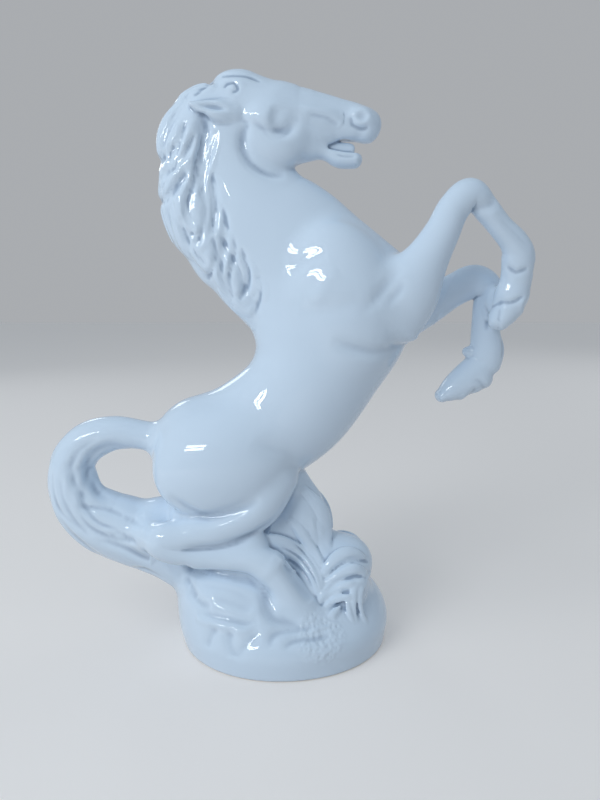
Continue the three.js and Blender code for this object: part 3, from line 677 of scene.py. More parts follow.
def skinned(grid: Grid) -> Skin:
    """Skins sampled clay.

    Args:
        grid: Distances to the skin.

    Returns:
        The skin, with normals and hollowness read from the lattice. The hollowness darkens the glaze, as
        glaze lying thicker and as painted shade.
    """
    voxel = grid.voxel
    volume = vdb.FloatGrid(float(grid.values.max()))
    volume.transform = vdb.createLinearTransform(voxelSize=voxel)
    first = np.round(grid.low / voxel).astype(int)
    volume.copyFromArray(grid.values, ijk=tuple(int(i) for i in first), tolerance=0.0)
    spots, quads = volume.convertToQuads(0.0)
    spots = spots.astype(float)
    reach = 0.9 * voxel
    here = grid.read(spots)
    slope = np.zeros_like(spots)
    bulge = np.zeros(len(spots))
    for n, axis in enumerate(np.eye(3)):
        ahead, behind = grid.read(spots + axis * reach), grid.read(spots - axis * reach)
        slope[:, n] = ahead - behind
        far = grid.read(spots + axis * 1.6 * voxel) + grid.read(spots - axis * 1.6 * voxel)
        bulge += (far - 2 * here) / (1.6 * voxel) ** 2
    slope /= np.maximum(np.linalg.norm(slope, axis=1), 1e-9)[:, None]
    faces = np.vstack([quads[:, [0, 1, 2]], quads[:, [0, 2, 3]]]).astype(int)
    # Hollowness from the bulge of the lattice, which darkens the glaze as thicker glaze and as painted crease
    # shade.
    return Skin(spots, slope, np.clip(-bulge, -1, 1), faces)


class Sweep:
    """Geometry Nodes tree that sweeps a lobed, flattened section along strands, for locks and leaves."""

    NAME: ClassVar[str] = "swept_strands"
    SIDES: ClassVar[int] = 20

    def __init__(self, glaze: bpy.types.Material) -> None:
        """Builds the tree once.

        Args:
            glaze: Material that the tree gives to what it sweeps.
        """
        self.glaze = glaze
        tree = bpy.data.node_groups.new(self.NAME, "GeometryNodeTree")
        self.tree = tree
        face = tree.interface
        face.new_socket("Strands", in_out="INPUT", socket_type="NodeSocketGeometry")
        for name, default in (("Pitch", 0.0006), ("Flatness", 0.6), ("Ridge Depth", 0.12), ("Ridges", 3.0)):
            face.new_socket(name, in_out="INPUT", socket_type="NodeSocketFloat").default_value = default
        face.new_socket("Glaze", in_out="INPUT", socket_type="NodeSocketMaterial")
        face.new_socket("Swept", in_out="OUTPUT", socket_type="NodeSocketGeometry")
        nodes, links = tree.nodes, tree.links
        group_in = nodes.new("NodeGroupInput")
        to_curve = nodes.new("GeometryNodeMeshToCurve")
        links.new(group_in.outputs["Strands"], to_curve.inputs["Mesh"])
        spline = nodes.new("GeometryNodeCurveSplineType")
        spline.spline_type = "CATMULL_ROM"
        links.new(to_curve.outputs["Curve"], spline.inputs["Curve"])
        resample = nodes.new("GeometryNodeResampleCurve")
        resample.mode = "LENGTH"
        links.new(spline.outputs["Curve"], resample.inputs["Curve"])
        links.new(group_in.outputs["Pitch"], resample.inputs["Length"])
        lay = self._attribute("lay", "FLOAT_VECTOR")
        facing = nodes.new("GeometryNodeSetCurveNormal")
        facing.mode = "FREE"
        links.new(resample.outputs["Curve"], facing.inputs["Curve"])
        links.new(lay.outputs["Attribute"], facing.inputs["Normal"])
        girth = self._attribute("girth", "FLOAT")
        sweep = nodes.new("GeometryNodeCurveToMesh")
        links.new(facing.outputs["Curve"], sweep.inputs["Curve"])
        links.new(self._section(group_in), sweep.inputs["Profile Curve"])
        links.new(girth.outputs["Attribute"], sweep.inputs["Scale"])
        sweep.inputs["Fill Caps"].default_value = True
        real = nodes.new("GeometryNodeRealizeInstances")
        links.new(sweep.outputs["Mesh"], real.inputs["Geometry"])
        finish = nodes.new("GeometryNodeSetMaterial")
        links.new(real.outputs["Geometry"], finish.inputs["Geometry"])
        links.new(group_in.outputs["Glaze"], finish.inputs["Material"])
        group_out = nodes.new("NodeGroupOutput")
        links.new(finish.outputs["Geometry"], group_out.inputs["Swept"])

    def _attribute(self, name: str, kind: str) -> bpy.types.Node:
        """Adds a node that reads an attribute of the strands.

        Args:
            name: Name of the attribute.
            kind: Its data type.

        Returns:
            The node.
        """
        node = self.tree.nodes.new("GeometryNodeInputNamedAttribute")
        node.data_type = kind
        node.inputs["Name"].default_value = name
        return node

    def _math(self, operation: str, a: object, b: object) -> bpy.types.NodeSocket:
        """Adds a sum of two values or sockets.

        Args:
            operation: What is done with them.
            a: First value or socket.
            b: Second value or socket.

        Returns:
            The socket of the result.
        """
        node = self.tree.nodes.new("ShaderNodeMath")
        node.operation = operation
        for socket, value in zip(node.inputs, (a, b)):
            if isinstance(value, bpy.types.NodeSocket):
                self.tree.links.new(value, socket)
            else:
                socket.default_value = value
        return node.outputs[0]

    def _section(self, group_in: bpy.types.Node) -> bpy.types.NodeSocket:
        """Adds the section of unit radius: a flattened circle with ridges round it.

        Args:
            group_in: Node with the inputs of the tree.

        Returns:
            The socket of the closed curve.
        """
        nodes, links = self.tree.nodes, self.tree.links
        circle = nodes.new("GeometryNodeCurvePrimitiveCircle")
        circle.inputs["Resolution"].default_value = self.SIDES
        circle.inputs["Radius"].default_value = 1.0
        place = nodes.new("GeometryNodeInputPosition")
        apart = nodes.new("ShaderNodeSeparateXYZ")
        links.new(place.outputs["Position"], apart.inputs["Vector"])
        angle = self._math("ARCTAN2", apart.outputs["Y"], apart.outputs["X"])
        turns = self._math("MULTIPLY", group_in.outputs["Ridges"], 2.0)
        wave = self._math("COSINE", self._math("MULTIPLY", angle, turns), 0.0)
        size = self._math("ADD", self._math("MULTIPLY", wave, group_in.outputs["Ridge Depth"]), 1.0)
        flat = self._math("MULTIPLY", size, group_in.outputs["Flatness"])
        joined = nodes.new("ShaderNodeCombineXYZ")
        links.new(self._math("MULTIPLY", apart.outputs["X"], flat), joined.inputs["X"])
        links.new(self._math("MULTIPLY", apart.outputs["Y"], size), joined.inputs["Y"])
        shaped = nodes.new("GeometryNodeSetPosition")
        links.new(circle.outputs["Curve"], shaped.inputs["Geometry"])
        links.new(joined.outputs["Vector"], shaped.inputs["Position"])
        return shaped.outputs["Geometry"]

    def swept(self, strands: Sequence["Strand"], **sizes: float) -> tuple[np.ndarray, np.ndarray]:
        """Sweeps the strands.

        Args:
            strands: What to sweep.
            sizes: Values of the tree's inputs by name, with underscores for spaces.

        Returns:
            Corners in millimetres and the triangles between them.
        """
        mesh = bpy.data.meshes.new("strands")
        spots = np.vstack([s.spots for s in strands]) * MM
        edges = []
        start = 0
        for strand in strands:
            edges += [(start + i, start + i + 1) for i in range(len(strand.spots) - 1)]
            start += len(strand.spots)
        mesh.from_pydata(spots.tolist(), edges, [])
        lay = mesh.attributes.new("lay", "FLOAT_VECTOR", "POINT")
        lay.data.foreach_set("vector", np.vstack([s.lay for s in strands]).astype(np.float32).ravel())
        girth = mesh.attributes.new("girth", "FLOAT", "POINT")
        girth.data.foreach_set("value", (np.concatenate([s.girth for s in strands]) * MM).astype(np.float32))
        holder = bpy.data.objects.new("strands", mesh)
        bpy.context.scene.collection.objects.link(holder)
        modifier = holder.modifiers.new("sweep", "NODES")
        modifier.node_group = self.tree
        values = {"glaze": self.glaze, **sizes}
        for item in self.tree.interface.items_tree:
            key = item.name.lower().replace(" ", "_")
            if item.in_out == "INPUT" and key in values:
                modifier[item.identifier] = values[key]
        graph = bpy.context.evaluated_depsgraph_get()
        result = bpy.data.meshes.new_from_object(holder.evaluated_get(graph))
        holder.modifiers.clear()
        bpy.data.objects.remove(holder)
        result.calc_loop_triangles()
        corners = np.zeros(len(result.vertices) * 3)
        result.vertices.foreach_get("co", corners)
        triangles = np.zeros(len(result.loop_triangles) * 3, int)
        result.loop_triangles.foreach_get("vertices", triangles)
        bpy.data.meshes.remove(result)
        return corners.reshape(-1, 3) / MM, triangles.reshape(-1, 3)


@dataclass
class Strand:
    """Centre line of a lock of hair or a leaf, with its half width and the way its flat side faces."""

    spots: np.ndarray
    girth: np.ndarray
    lay: np.ndarray


def strand_on(
    clay: Clay, marks: Sequence[Mark], side: Side, girth: float, sink: float, tip: float = 0.25
) -> Strand | None:
    """A strand that lies on the skin of the clay.

    Args:
        clay: What it lies on.
        marks: Its centre line, as seen against the middle plane.
        side: Flank that it lies on.
        girth: Its half width where it is widest.
        sink: How far its centre line lies under the skin, as a share of the half width.
        tip: Half width at its ends, as a share of the widest.

    Returns:
        The strand, or nothing where it misses the clay.
    """
    spots = clay.draped(smooth_path(marks, 4), side)
    if not len(spots):
        return None
    lay = clay.slope(spots, 1.5) + np.array([0.0, 0.7 * side.value, 0.0])
    lay /= np.linalg.norm(lay, axis=1)[:, None]
    u = np.linspace(0, 1, len(spots))
    swell = tip + (1 - tip) * np.sin(math.pi * u**0.85) ** 0.8
    return Strand(spots - lay * (girth * sink * swell)[:, None], girth * swell, lay)


@dataclass(frozen=True)
class Line:
    """Tool mark as it is seen against the middle plane: depth, width and the marks that it runs through."""

    depth: float
    width: float
    marks: Sequence[Mark]
    both: bool = True
    fade: float = 0.35


def strokes_of(clay: Clay, lines: Sequence[Line], seed: int, stir: float = 0.5) -> list[Stroke]:
    """The strokes of lines on the clay.

    Args:
        clay: What they are drawn on.
        lines: Tool marks of the right flank.
        seed: Seed of the small shifts on the left flank.
        stir: Size of those shifts.

    Returns:
        Strokes on the right flank, and on the left one too where the line is on both.
    """
    shift = np.random.default_rng(seed)
    out = []
    for line in lines:
        out.append(clay.drawn(line.marks, Side.RIGHT, line.depth, line.width, line.fade))
        dx, dz = shift.normal(0, stir, 2)
        if line.both:
            moved = [(x + dx, z + dz) for x, z in line.marks]
            out.append(clay.drawn(moved, Side.LEFT, line.depth, line.width, line.fade))
    return [s for s in out if len(s.spots) > 3]


class Group(Shape):
    """Clay that is worked apart and then pressed on as one."""

    def __init__(self, clay: Clay, blend: float) -> None:
        """Keeps the clay.

        Args:
            clay: What is pressed on.
            blend: Radius over which it melts into the rest.
        """
        self.clay = clay
        self.blend = blend
        self.low = np.min([s.low for s in clay.shapes if not s.carve], axis=0)
        self.high = np.max([s.high for s in clay.shapes if not s.carve], axis=0)

    def distance(self, points: np.ndarray) -> np.ndarray:
        """Signed distance of the points from the clay."""
        return self.clay.distance(points)


@dataclass
class Bun(Shape):
    """Oval base with a rounded shoulder, drawn in towards its foot."""

    length: float = 104.5
    depth: float = 94.0
    middle: float = 1.5
    waist: float = 9.0
    rise: float = 17.0
    draft: float = 0.1
    power: float = 2.4
    blend: float = 8.0

    def __post_init__(self) -> None:
        """Works out the box."""
        self.low = np.array([self.middle - self.length / 2, -self.depth / 2, 0.0])
        self.high = np.array([self.middle + self.length / 2, self.depth / 2, self.waist + self.rise])

    def distance(self, points: np.ndarray) -> np.ndarray:
        """Measures how far the points are from the base, which runs on below the table.

        Args:
            points: Rows of x, y and z.

        Returns:
            Signed distances, below zero inside.
        """
        lift = points[:, 2] - self.waist
        inset = np.where(lift < 0, -lift * self.draft, 0.0)
        half_length, half_depth = self.length / 2 - inset, self.depth / 2 - inset
        a, b = (points[:, 0] - self.middle) / half_length, points[:, 1] / half_depth
        plan = np.maximum(np.hypot(a, b), 1e-6)
        c = np.where(lift > 0, lift / self.rise, 0.0)
        q = (plan**self.power + c**self.power) ** (1 / self.power)
        outwards = (plan / q) ** (self.power - 1) * np.hypot(a / half_length, b / half_depth) / plan
        upwards = (c / q) ** (self.power - 1) / self.rise
        return (q - 1) / np.hypot(outwards, upwards)


@dataclass
class Well(Shape):
    """Upright oval hole that is open to the table."""

    middle: float
    length: float
    depth: float
    top: float
    blend: float = 0.8
    carve: bool = True

    def __post_init__(self) -> None:
        """Works out the box."""
        self.low = np.array([self.middle - self.length, -self.depth, -20.0])
        self.high = np.array([self.middle + self.length, self.depth, self.top])

    def distance(self, points: np.ndarray) -> np.ndarray:
        """Signed distance of the points from the hole."""
        plan = np.hypot((points[:, 0] - self.middle) / self.length, points[:, 1] / self.depth)
        return np.maximum((plan - 1) * min(self.length, self.depth), points[:, 2] - self.top)


def pair(make: Callable[[float], Shape]) -> list[Shape]:
    """The same shape on both flanks. The argument of make is the sign of y."""
    return [make(-1.0), make(1.0)]


def flipped(stations: Sequence[Station]) -> list[Station]:
    """The stations on the other flank."""
    return [(x, z, deep, wide, -y) for x, z, deep, wide, y in stations]


@dataclass
class Trunk:
    """Barrel, breast, rump and thighs."""

    girth: Sequence[Station] = (
        (-37, 100, 26.5, 23),
        (-16, 107.5, 28.5, 24),
        (3, 120.5, 29.5, 25),
        (14.5, 136, 30.5, 26),
        (21.5, 153, 33, 25),
        (25, 168, 32, 22),
    )

    lines: ClassVar[Sequence[Line]] = (
        Line(
            1.5,
            2.2,
            ((-54.3, 45.5), (-44.3, 45.9), (-34.4, 46.6), (-26, 49), (-17.6, 53), (-9.3, 58.3), (-3, 64)),
        ),
        Line(
            1.8,
            3.0,
            ((-58.8, 74.9), (-51.4, 68.6), (-43.4, 64.3), (-35.3, 63.2), (-20.9, 67.5), (-11.7, 72.6)),
        ),
        Line(1.5, 3.2, ((24, 154.5), (32, 151.5), (39.8, 149.3), (47.6, 148.6), (55.3, 150.1), (61.1, 152))),
        Line(
            1.0,
            3.2,
            ((56.4, 191), (54.4, 186.4), (51.7, 182.2), (47.9, 177.4), (42.2, 171), (38, 166)),
            True,
            0.5,
        ),
        Line(0.7, 2.4, ((59, 184), (56.7, 178.9), (54.2, 175.6), (50.4, 171)), True, 0.5),
        Line(0.9, 4.2, ((-14.4, 104.1), (-10.4, 101), (-3.4, 98.9), (2.6, 95.8), (7.1, 88.6))),
        Line(0.7, 4.5, ((8.6, 169.4), (17.3, 168.9), (26.9, 170.3), (36.5, 173), (42.2, 175.1))),
        Line(-0.6, 3.6, ((12.4, 174.1), (18.2, 176.8), (22, 183.6), (27.7, 187.8))),
        Line(0.7, 4.0, ((2.9, 187.3), (8.6, 191.1), (15.2, 194.8), (21.9, 196.6))),
        Line(
            -0.35,
            0.7,
            ((90.4, 208.7), (85.3, 190.3), (79.7, 177.6), (75.1, 163.8), (66.9, 147.2)),
            False,
            0.1,
        ),
    )

    def shapes(self) -> list[Shape]:
        """Lists what the trunk is made of.

        Returns:
            Lofts and lumps, in the order they are blended.
        """
        return [
            Loft(self.girth, 6),
            Loft(Neck.crest, 10),
            Lump((45, 180, 0), (20.5, 18, 15), -20, 16),
            Lump((30, 194, 0), (19, 14, 15), -38, 10),
            Lump((-42, 98.5, 0), (24.5, 24.5, 19), 10, 8),
            *pair(lambda side: Lump((-28, 98, side * 13.5), (36, 25.5, 17), 18, 5)),
            *pair(lambda side: Lump((-31, 92, side * 18), (28, 21.5, 12.5), 14, 6)),
            *pair(lambda side: Lump((30, 176, side * 16), (20, 32, 12), 18, 10)),
        ]


@dataclass
class Neck:
    """Neck, and the bulk that the locks of the mane lie on."""

    crest: ClassVar[Sequence[Station]] = (
        (30, 152, 33, 20),
        (20, 173, 35.5, 21),
        (6, 194.5, 33.5, 18),
        (-12, 214, 28, 15),
        (-22, 233, 23.5, 12.5),
        (-27, 251, 17, 11.5),
        (-25, 260, 12, 10.5),
    )
    mane: Sequence[Station] = (
        (-23, 268, 5.6, 8.4),
        (-36, 259.5, 10.2, 11),
        (-42.5, 243, 13.8, 12),
        (-42, 226, 15, 12.5),
        (-38.5, 209, 14.6, 13),
        (-30.5, 195, 12.4, 13),
        (-22.5, 181, 9.8, 12),
        (-13.5, 168, 6.6, 10.5),
        (-8.5, 157, 3.4, 7.5),
    )

    lobes: Sequence[Sequence[Station]] = (
        ((-44, 264, 4, 6), (-51, 252, 5.4, 7), (-53.2, 243, 5.2, 7), (-53.4, 238.4, 3.6, 5.5)),
        ((-49, 242, 4, 6), (-52.4, 231, 4.6, 7), (-53.4, 223, 5, 7), (-51.6, 216, 4, 6)),
        ((-50.4, 219, 4, 6), (-49.6, 209, 4.4, 7), (-47.6, 202, 4.4, 7), (-44.4, 197.6, 3.4, 5)),
        ((-44.6, 204, 3.6, 6), (-41, 194, 4.2, 7), (-35.8, 186, 4.2, 7), (-30, 180.6, 3, 5)),
        ((-32.6, 187, 3.6, 6), (-27, 178, 3.8, 6), (-21, 170.4, 3.4, 5.5), (-15.6, 164, 2.6, 4.4)),
    )
    locks: Sequence[tuple[float, Sequence[Mark]]] = (
        (4.2, ((-44.7, 265.2), (-51.6, 256.7), (-55.7, 247.3), (-56.9, 238.5))),
        (4.0, ((-46.7, 255.9), (-51.2, 244.9), (-53.3, 234.5), (-56.9, 226.5))),
        (3.8, ((-40.9, 255.9), (-45.3, 247.3), (-48.9, 238.5), (-51.7, 229.7), (-56.2, 223.3))),
        (3.6, ((-37.7, 250.4), (-41.3, 240.9), (-42.5, 229.7), (-39.3, 223.3))),
        (3.0, ((-32.8, 248.1), (-37.2, 238.5), (-39.1, 229.7), (-38.4, 224.9))),
        (2.8, ((-29.4, 251.2), (-33.0, 240.9), (-34.0, 232.9))),
        (3.6, ((-34.8, 234.5), (-35.9, 223.3), (-34.5, 213.5), (-36.4, 203.6), (-39.1, 197.7))),
        (3.0, ((-33.2, 229.7), (-30.9, 220.0), (-30.3, 210.2), (-31.3, 201.9))),
        (3.8, ((-43.3, 229.7), (-47.9, 220.0), (-45.6, 210.2), (-39.8, 206.0))),
        (4.0, ((-49.9, 234.5), (-53.6, 224.9), (-54.7, 218.4), (-53.3, 210.2), (-51.0, 201.9))),
        (3.8, ((-50.4, 220.0), (-49.9, 210.2), (-46.8, 199.4), (-43.6, 193.5))),
        (3.4, ((-42.4, 205.2), (-41.7, 198.6), (-38.4, 191.9), (-34.3, 186.0))),
        (3.0, ((-30.3, 211.8), (-26.2, 204.4), (-22.0, 196.9), (-17.9, 188.5), (-17.1, 180.9))),
        (3.0, ((-31.3, 201.9), (-27.2, 193.5), (-22.2, 185.1), (-22.4, 176.6))),
        (3.2, ((-36.6, 196.9), (-32.5, 188.5), (-28.4, 180.9), (-24.1, 174.9))),
        (2.6, ((-20.3, 195.2), (-14.4, 188.5), (-13.6, 181.7), (-15.4, 176.6))),
        (2.4, ((-12.7, 184.3), (-8.5, 178.3), (-9.4, 173.2))),
        (2.4, ((-24.1, 176.6), (-20.7, 170.6), (-16.4, 168.0), (-12.9, 171.4))),
        (3.0, ((-31.0, 179.2), (-24.2, 171.4), (-17.3, 165.4), (-13.9, 159.3))),
        (3.6, ((-30.6, 270.6), (-37.2, 269.9), (-43.9, 266.8), (-49.5, 260.0))),
    )

    lines: ClassVar[Sequence[Line]] = (
        Line(
            3.2,
            2.3,
            ((-36.7, 260.3), (-35.6, 252), (-36.6, 246.5), (-38, 240.1), (-40.4, 231), (-43.6, 224)),
        ),
        Line(2.2, 1.6, ((-30.2, 252.4), (-32.9, 244.1), (-35.6, 236.9), (-37.6, 228), (-36.6, 219))),
        Line(2.2, 1.8, ((-33.8, 234), (-32.1, 223.3), (-31.8, 216.4), (-34.2, 207), (-38.6, 199.6))),
        Line(1.6, 1.7, ((-29.4, 219), (-27.4, 212), (-27, 205.2), (-28.2, 197), (-30.6, 190))),
        Line(1.7, 1.9, ((-40.6, 250.6), (-43.3, 245.3), (-47.2, 240.3), (-52, 235), (-57.6, 231))),
        Line(1.8, 2.3, ((-47, 247), (-53.5, 241.9), (-57.5, 238.2), (-60, 236.9))),
        Line(1.6, 1.9, ((-40, 240), (-44, 234.5), (-49.4, 227.6), (-54.6, 221.8), (-59.9, 218.6))),
        Line(1.5, 1.9, ((-41.6, 229), (-44.5, 220.4), (-45.4, 212.8), (-43.4, 205), (-39.4, 199.4))),
        Line(1.4, 1.6, ((-36.6, 230), (-35.8, 219), (-36.6, 209.9), (-40.6, 202), (-44.6, 197))),
        Line(1.5, 1.5, ((-29.4, 201), (-29.4, 192.7), (-29.6, 186), (-27, 179.2), (-22.6, 173.2))),
        Line(1.3, 1.5, ((-20.6, 199), (-18, 192.2), (-16.4, 185.3), (-18.4, 178.6), (-22, 172.6))),
        Line(1.3, 1.4, ((-25.2, 206), (-22.9, 198.7), (-24, 191.4), (-26, 184), (-24.6, 176.6))),
        Line(1.3, 1.5, ((-33.6, 204), (-31.6, 196.7), (-33.2, 189.9), (-36.6, 183.1))),
        Line(1.3, 1.5, ((-44.4, 256), (-46.8, 248.8), (-50.4, 241.5), (-55.6, 235.1))),
        Line(0.7, 1.4, ((-12.8, 186), (-10.6, 180), (-11.4, 173.6), (-14.6, 167))),
        Line(1.0, 1.4, ((-49, 214), (-46.6, 205), (-42, 196), (-37, 190))),
    )

    def shapes(self) -> list[Shape]:
        """What the bulk of the mane is made of."""
        return [Loft(self.mane, 3), *(Loft(lobe, 1.6) for lobe in self.lobes)]

    def hair(self, clay: Clay, sweep: Sweep) -> Shape:
        """Sweeps the locks of the mane.

        Args:
            clay: What they lie on.
            sweep: What they are swept with.

        Returns:
            The locks on both flanks.
        """
        strands = []
        shift = np.random.default_rng(7)
        for side in Side:
            for girth, marks in self.locks:
                stir = shift.normal(0, 0.8, 2) if side is Side.LEFT else np.zeros(2)
                path = [(x + stir[0], z + stir[1]) for x, z in marks]
                strands.append(strand_on(clay, path, side, girth, 0.26))
        corners, triangles = sweep.swept(
            [s for s in strands if s], pitch=HAIR_PITCH, flatness=0.66, ridge_depth=0.09, ridges=4.0
        )
        return Modelled(corners, triangles, HAIR_VOXEL, 1.2)


@dataclass
class Head:
    """Head with its ears pinned back and its mouth a little open."""

    skull: Sequence[Station] = (
        (-19, 262, 13.5, 11),
        (-6.5, 256, 17.2, 12.5),
        (5.5, 253.2, 16.2, 10.5),
        (15.5, 254.2, 13.2, 8.5),
        (24.5, 255.4, 10.6, 7.2),
        (34, 254.8, 8.8, 7.2),
        (39.3, 252.8, 7.4, 6.4),
    )
    chin: Sequence[Station] = (
        (9, 244, 6, 6.5),
        (19.5, 242.2, 3.6, 4.8),
        (27, 239.6, 4.6, 5.2),
        (33.6, 238.8, 4.1, 4.8),
    )
    gape: Sequence[Station] = (
        (22.5, 244, 1.2, 10),
        (28.6, 244.5, 3.0, 10),
        (35.4, 243.9, 2.6, 10),
        (46, 242.6, 2.6, 10),
    )
    tongue: Sequence[Station] = (
        (14, 243.6, 3, 2.8),
        (24, 243.6, 3.2, 2.2),
        (30.5, 242.9, 3.4, 1.8),
        (32.4, 242.4, 3.2, 1.6),
    )

    lines: ClassVar[Sequence[Line]] = (
        Line(
            1.6,
            2.4,
            ((-15.3, 257.3), (-17.9, 250.3), (-18.1, 243.2), (-14, 236.8), (-6.5, 232.8), (1.9, 232)),
        ),
        Line(
            0.9,
            2.1,
            ((-14.1, 258.1), (-12.1, 255), (-7.9, 252.6), (-2.1, 251.8), (2, 253.4), (3.7, 257.3)),
        ),
        Line(0.35, 1.7, ((-9.6, 250.6), (-5.4, 248.8), (-0.4, 248.9), (3.4, 251.6), (5, 256))),
        Line(0.8, 1.2, ((-28.2, 275.1), (-21.6, 275.8), (-15.1, 275.1), (-9, 272.5))),
        Line(0.8, 1.0, ((-26.7, 269.7), (-25, 272), (-21.7, 272.4), (-20.4, 269.7), (-23.4, 268.2))),
        Line(0.9, 1.3, ((-30.5, 273.5), (-35.5, 270.8), (-41, 266.5))),
        Line(0.5, 1.1, ((24.1, 241.6), (29.6, 240.4), (35.4, 240.6))),
        Line(0.6, 1.8, ((12, 259), (20, 257.5), (27, 254))),
        Line(-0.5, 1.6, ((8, 262.5), (17, 261), (27, 260))),
        Line(0.8, 1.4, ((32.2, 258.5), (33, 254.4), (37, 252.4), (41, 253.4))),
    )

    def shapes(self) -> list[Shape]:
        """Lists what the head is made of.

        Returns:
            Lofts and lumps, with what carves after what it carves.
        """
        return [
            Loft(self.skull, 5),
            *pair(lambda side: Lump((-3.5, 248, side * 5), (15.5, 14.6, 8), 0, 3)),
            Loft(self.chin, 3),
            Lump((-18, 270.9, 0), (12, 6.4, 8), -8, 5),
            Lump((-21.5, 273.8, -1), (8, 2.9, 5), 6, 2),
            Lump((7, 261.4, 0), (19, 8.4, 6.5), -13, 7),
            *pair(lambda side: Lump((-6.0, 254.8, side * 9.2), (9.5, 6.2, 5.2), -12, 3)),
            *pair(lambda side: Lump((2.8, 253.4, side * 15.8), (7.0, 7.6, 5.6), -10, 3.5, carve=True)),
            *pair(lambda side: Lump((0.2, 254.0, side * 8.6), (5.0, 4.6, 3.4), -10, 3)),
            *pair(lambda side: Lump((-2.5, 260.0, side * 8.4), (8.0, 2.4, 2.8), -14, 3)),
            *pair(lambda side: Lump((10, 257.6, side * 6.5), (14, 2.2, 2.4), -8, 4)),
            Lump((39.4, 255.2, 0), (6, 5.6, 6.4), -20, 3),
            *pair(lambda side: Lump((36.4, 256, side * 5.0), (4.6, 4.2, 3.4), -8, 3)),
            *pair(lambda side: Lump((36.7, 256.2, side * 8.9), (2.8, 2.4, 1.6), 0, 1.4, carve=True)),
            Loft(self.gape, 1.0, carve=True),
            Loft(self.tongue, 0.8),
            *pair(self._ear),
            *pair(lambda side: Lump((-29.5, 258.6, side * 15), (7.5, 1.7, 2.2), -8, 1.2, carve=True)),
        ]

    def _ear(self, side: float) -> Shape:
        """Shapes one ear, from its root to its tip.

        Args:
            side: 1 for the left ear and -1 for the right one.

        Returns:
            The loft.
        """
        root = (-21, 257, 4.4, 3, side * 9.5)
        middle = (-29, 257.6, 4.6, 3.2, side * 11.5)
        tip = (-40, 260, 1.2, 1.4, side * 12.5)
        return Loft((root, middle, tip), 1.5)


@dataclass
class Forelegs:
    """The two forelegs, which paw the air."""

    right: Sequence[Station] = (
        (50, 172, 21, 11, -12),
        (58.5, 180, 16, 11, -14.5),
        (66.2, 192.3, 10.5, 9, -15.5),
        (72.9, 204.3, 8.2, 7.6, -15.5),
        (78, 215, 7.4, 7, -15),
        (85.3, 221.1, 7.4, 6.8, -14),
        (92.8, 215.6, 6.1, 5.8, -12.5),
        (100.6, 207.6, 5.6, 5.4, -11),
        (108, 200.5, 6.6, 5.8, -9),
        (111.1, 194, 7.8, 6.4, -7),
        (111.4, 184, 7.4, 6.3, -5),
        (110, 175.5, 7.6, 6.8, -4),
    )
    right_hoof: Sequence[Station] = (
        (110.3, 177, 7.8, 7, -4),
        (107.8, 169, 7, 6.8, -3),
        (105.2, 164.6, 5.6, 6, -2),
    )
    left: Sequence[Station] = (
        (50, 164, 17, 10, 12),
        (62, 166, 12.5, 10, 14),
        (74, 170.5, 9.4, 8.6, 15),
        (86, 178.2, 8.4, 7.6, 14.5),
        (96.5, 182.6, 8.6, 7.2, 13.5),
        (103.5, 178, 7.8, 6.4, 12.5),
        (103.3, 168, 7.4, 5.8, 12),
        (103, 157, 7.4, 5.8, 12),
        (104, 148.5, 8.8, 6.6, 12),
        (103, 141.5, 8.6, 6.4, 12),
    )
    left_hoof: Sequence[Station] = (
        (100, 137, 9.6, 6.8, 12),
        (93.5, 132.6, 8.4, 7, 12),
        (86.5, 127.8, 6.2, 6.6, 12),
        (82, 124.8, 3.6, 5.4, 12),
    )

    lines: ClassVar[Sequence[Line]] = (
        Line(1.1, 2.6, ((89.3, 214.4), (92.6, 216.1), (96.8, 217.7), (101.7, 220.2)), False),
        Line(0.8, 1.6, ((90.2, 214.4), (89.9, 210.3), (89.7, 206.2)), False),
        Line(0.6, 2.2, ((101.2, 214.4), (108.4, 207.9), (114.7, 202.1), (119.2, 197.9)), False),
        Line(1.0, 2.0, ((123, 192.9), (124.1, 188.7), (121.7, 185.3)), False),
        Line(-1.0, 1.7, ((118.9, 175), (116.5, 172.5), (116.8, 166.4), (118.9, 161.2)), False),
        Line(0.9, 1.6, ((107.6, 190), (112.8, 187.2), (118.8, 189.1)), False),
        Line(1.0, 1.4, ((101.5, 170.5), (106, 172.5), (112, 172.8), (118, 176)), False),
        Line(0.6, 1.4, ((107.8, 155.1), (108.6, 149.8), (108.4, 144.5)), False),
        Line(0.5, 1.8, ((93.9, 134.3), (97.5, 133.8), (100.4, 129.3), (98.8, 125.7)), False),
        Line(0.8, 2.0, ((96.7, 131.1), (93.4, 125.7), (89.2, 119.4), (85.8, 115.7)), False),
        Line(-0.7, 1.5, ((91, 128), (87.4, 121.2), (84, 116.6)), False),
        Line(0.7, 1.6, ((98.2, 172.5), (100, 166), (99.5, 158)), False),
        Line(0.6, 1.6, ((106, 178), (105.5, 165), (105.8, 156)), False),
    )

    def shapes(self) -> list[Shape]:
        """Lists what the forelegs are made of.

        Returns:
            Lofts and lumps, in the order they are blended.
        """
        return [
            Loft(self.right, 6),
            Loft(self.right_hoof, 1.5),
            Loft(self.left, 5),
            Loft(self.left_hoof, 1.5),
            Lump((94.5, 147.5, 12), (3, 2.6, 3), 0, 2),
            Lump((105, 172, 5), (5, 8.5, 6), 6, 3),
        ]


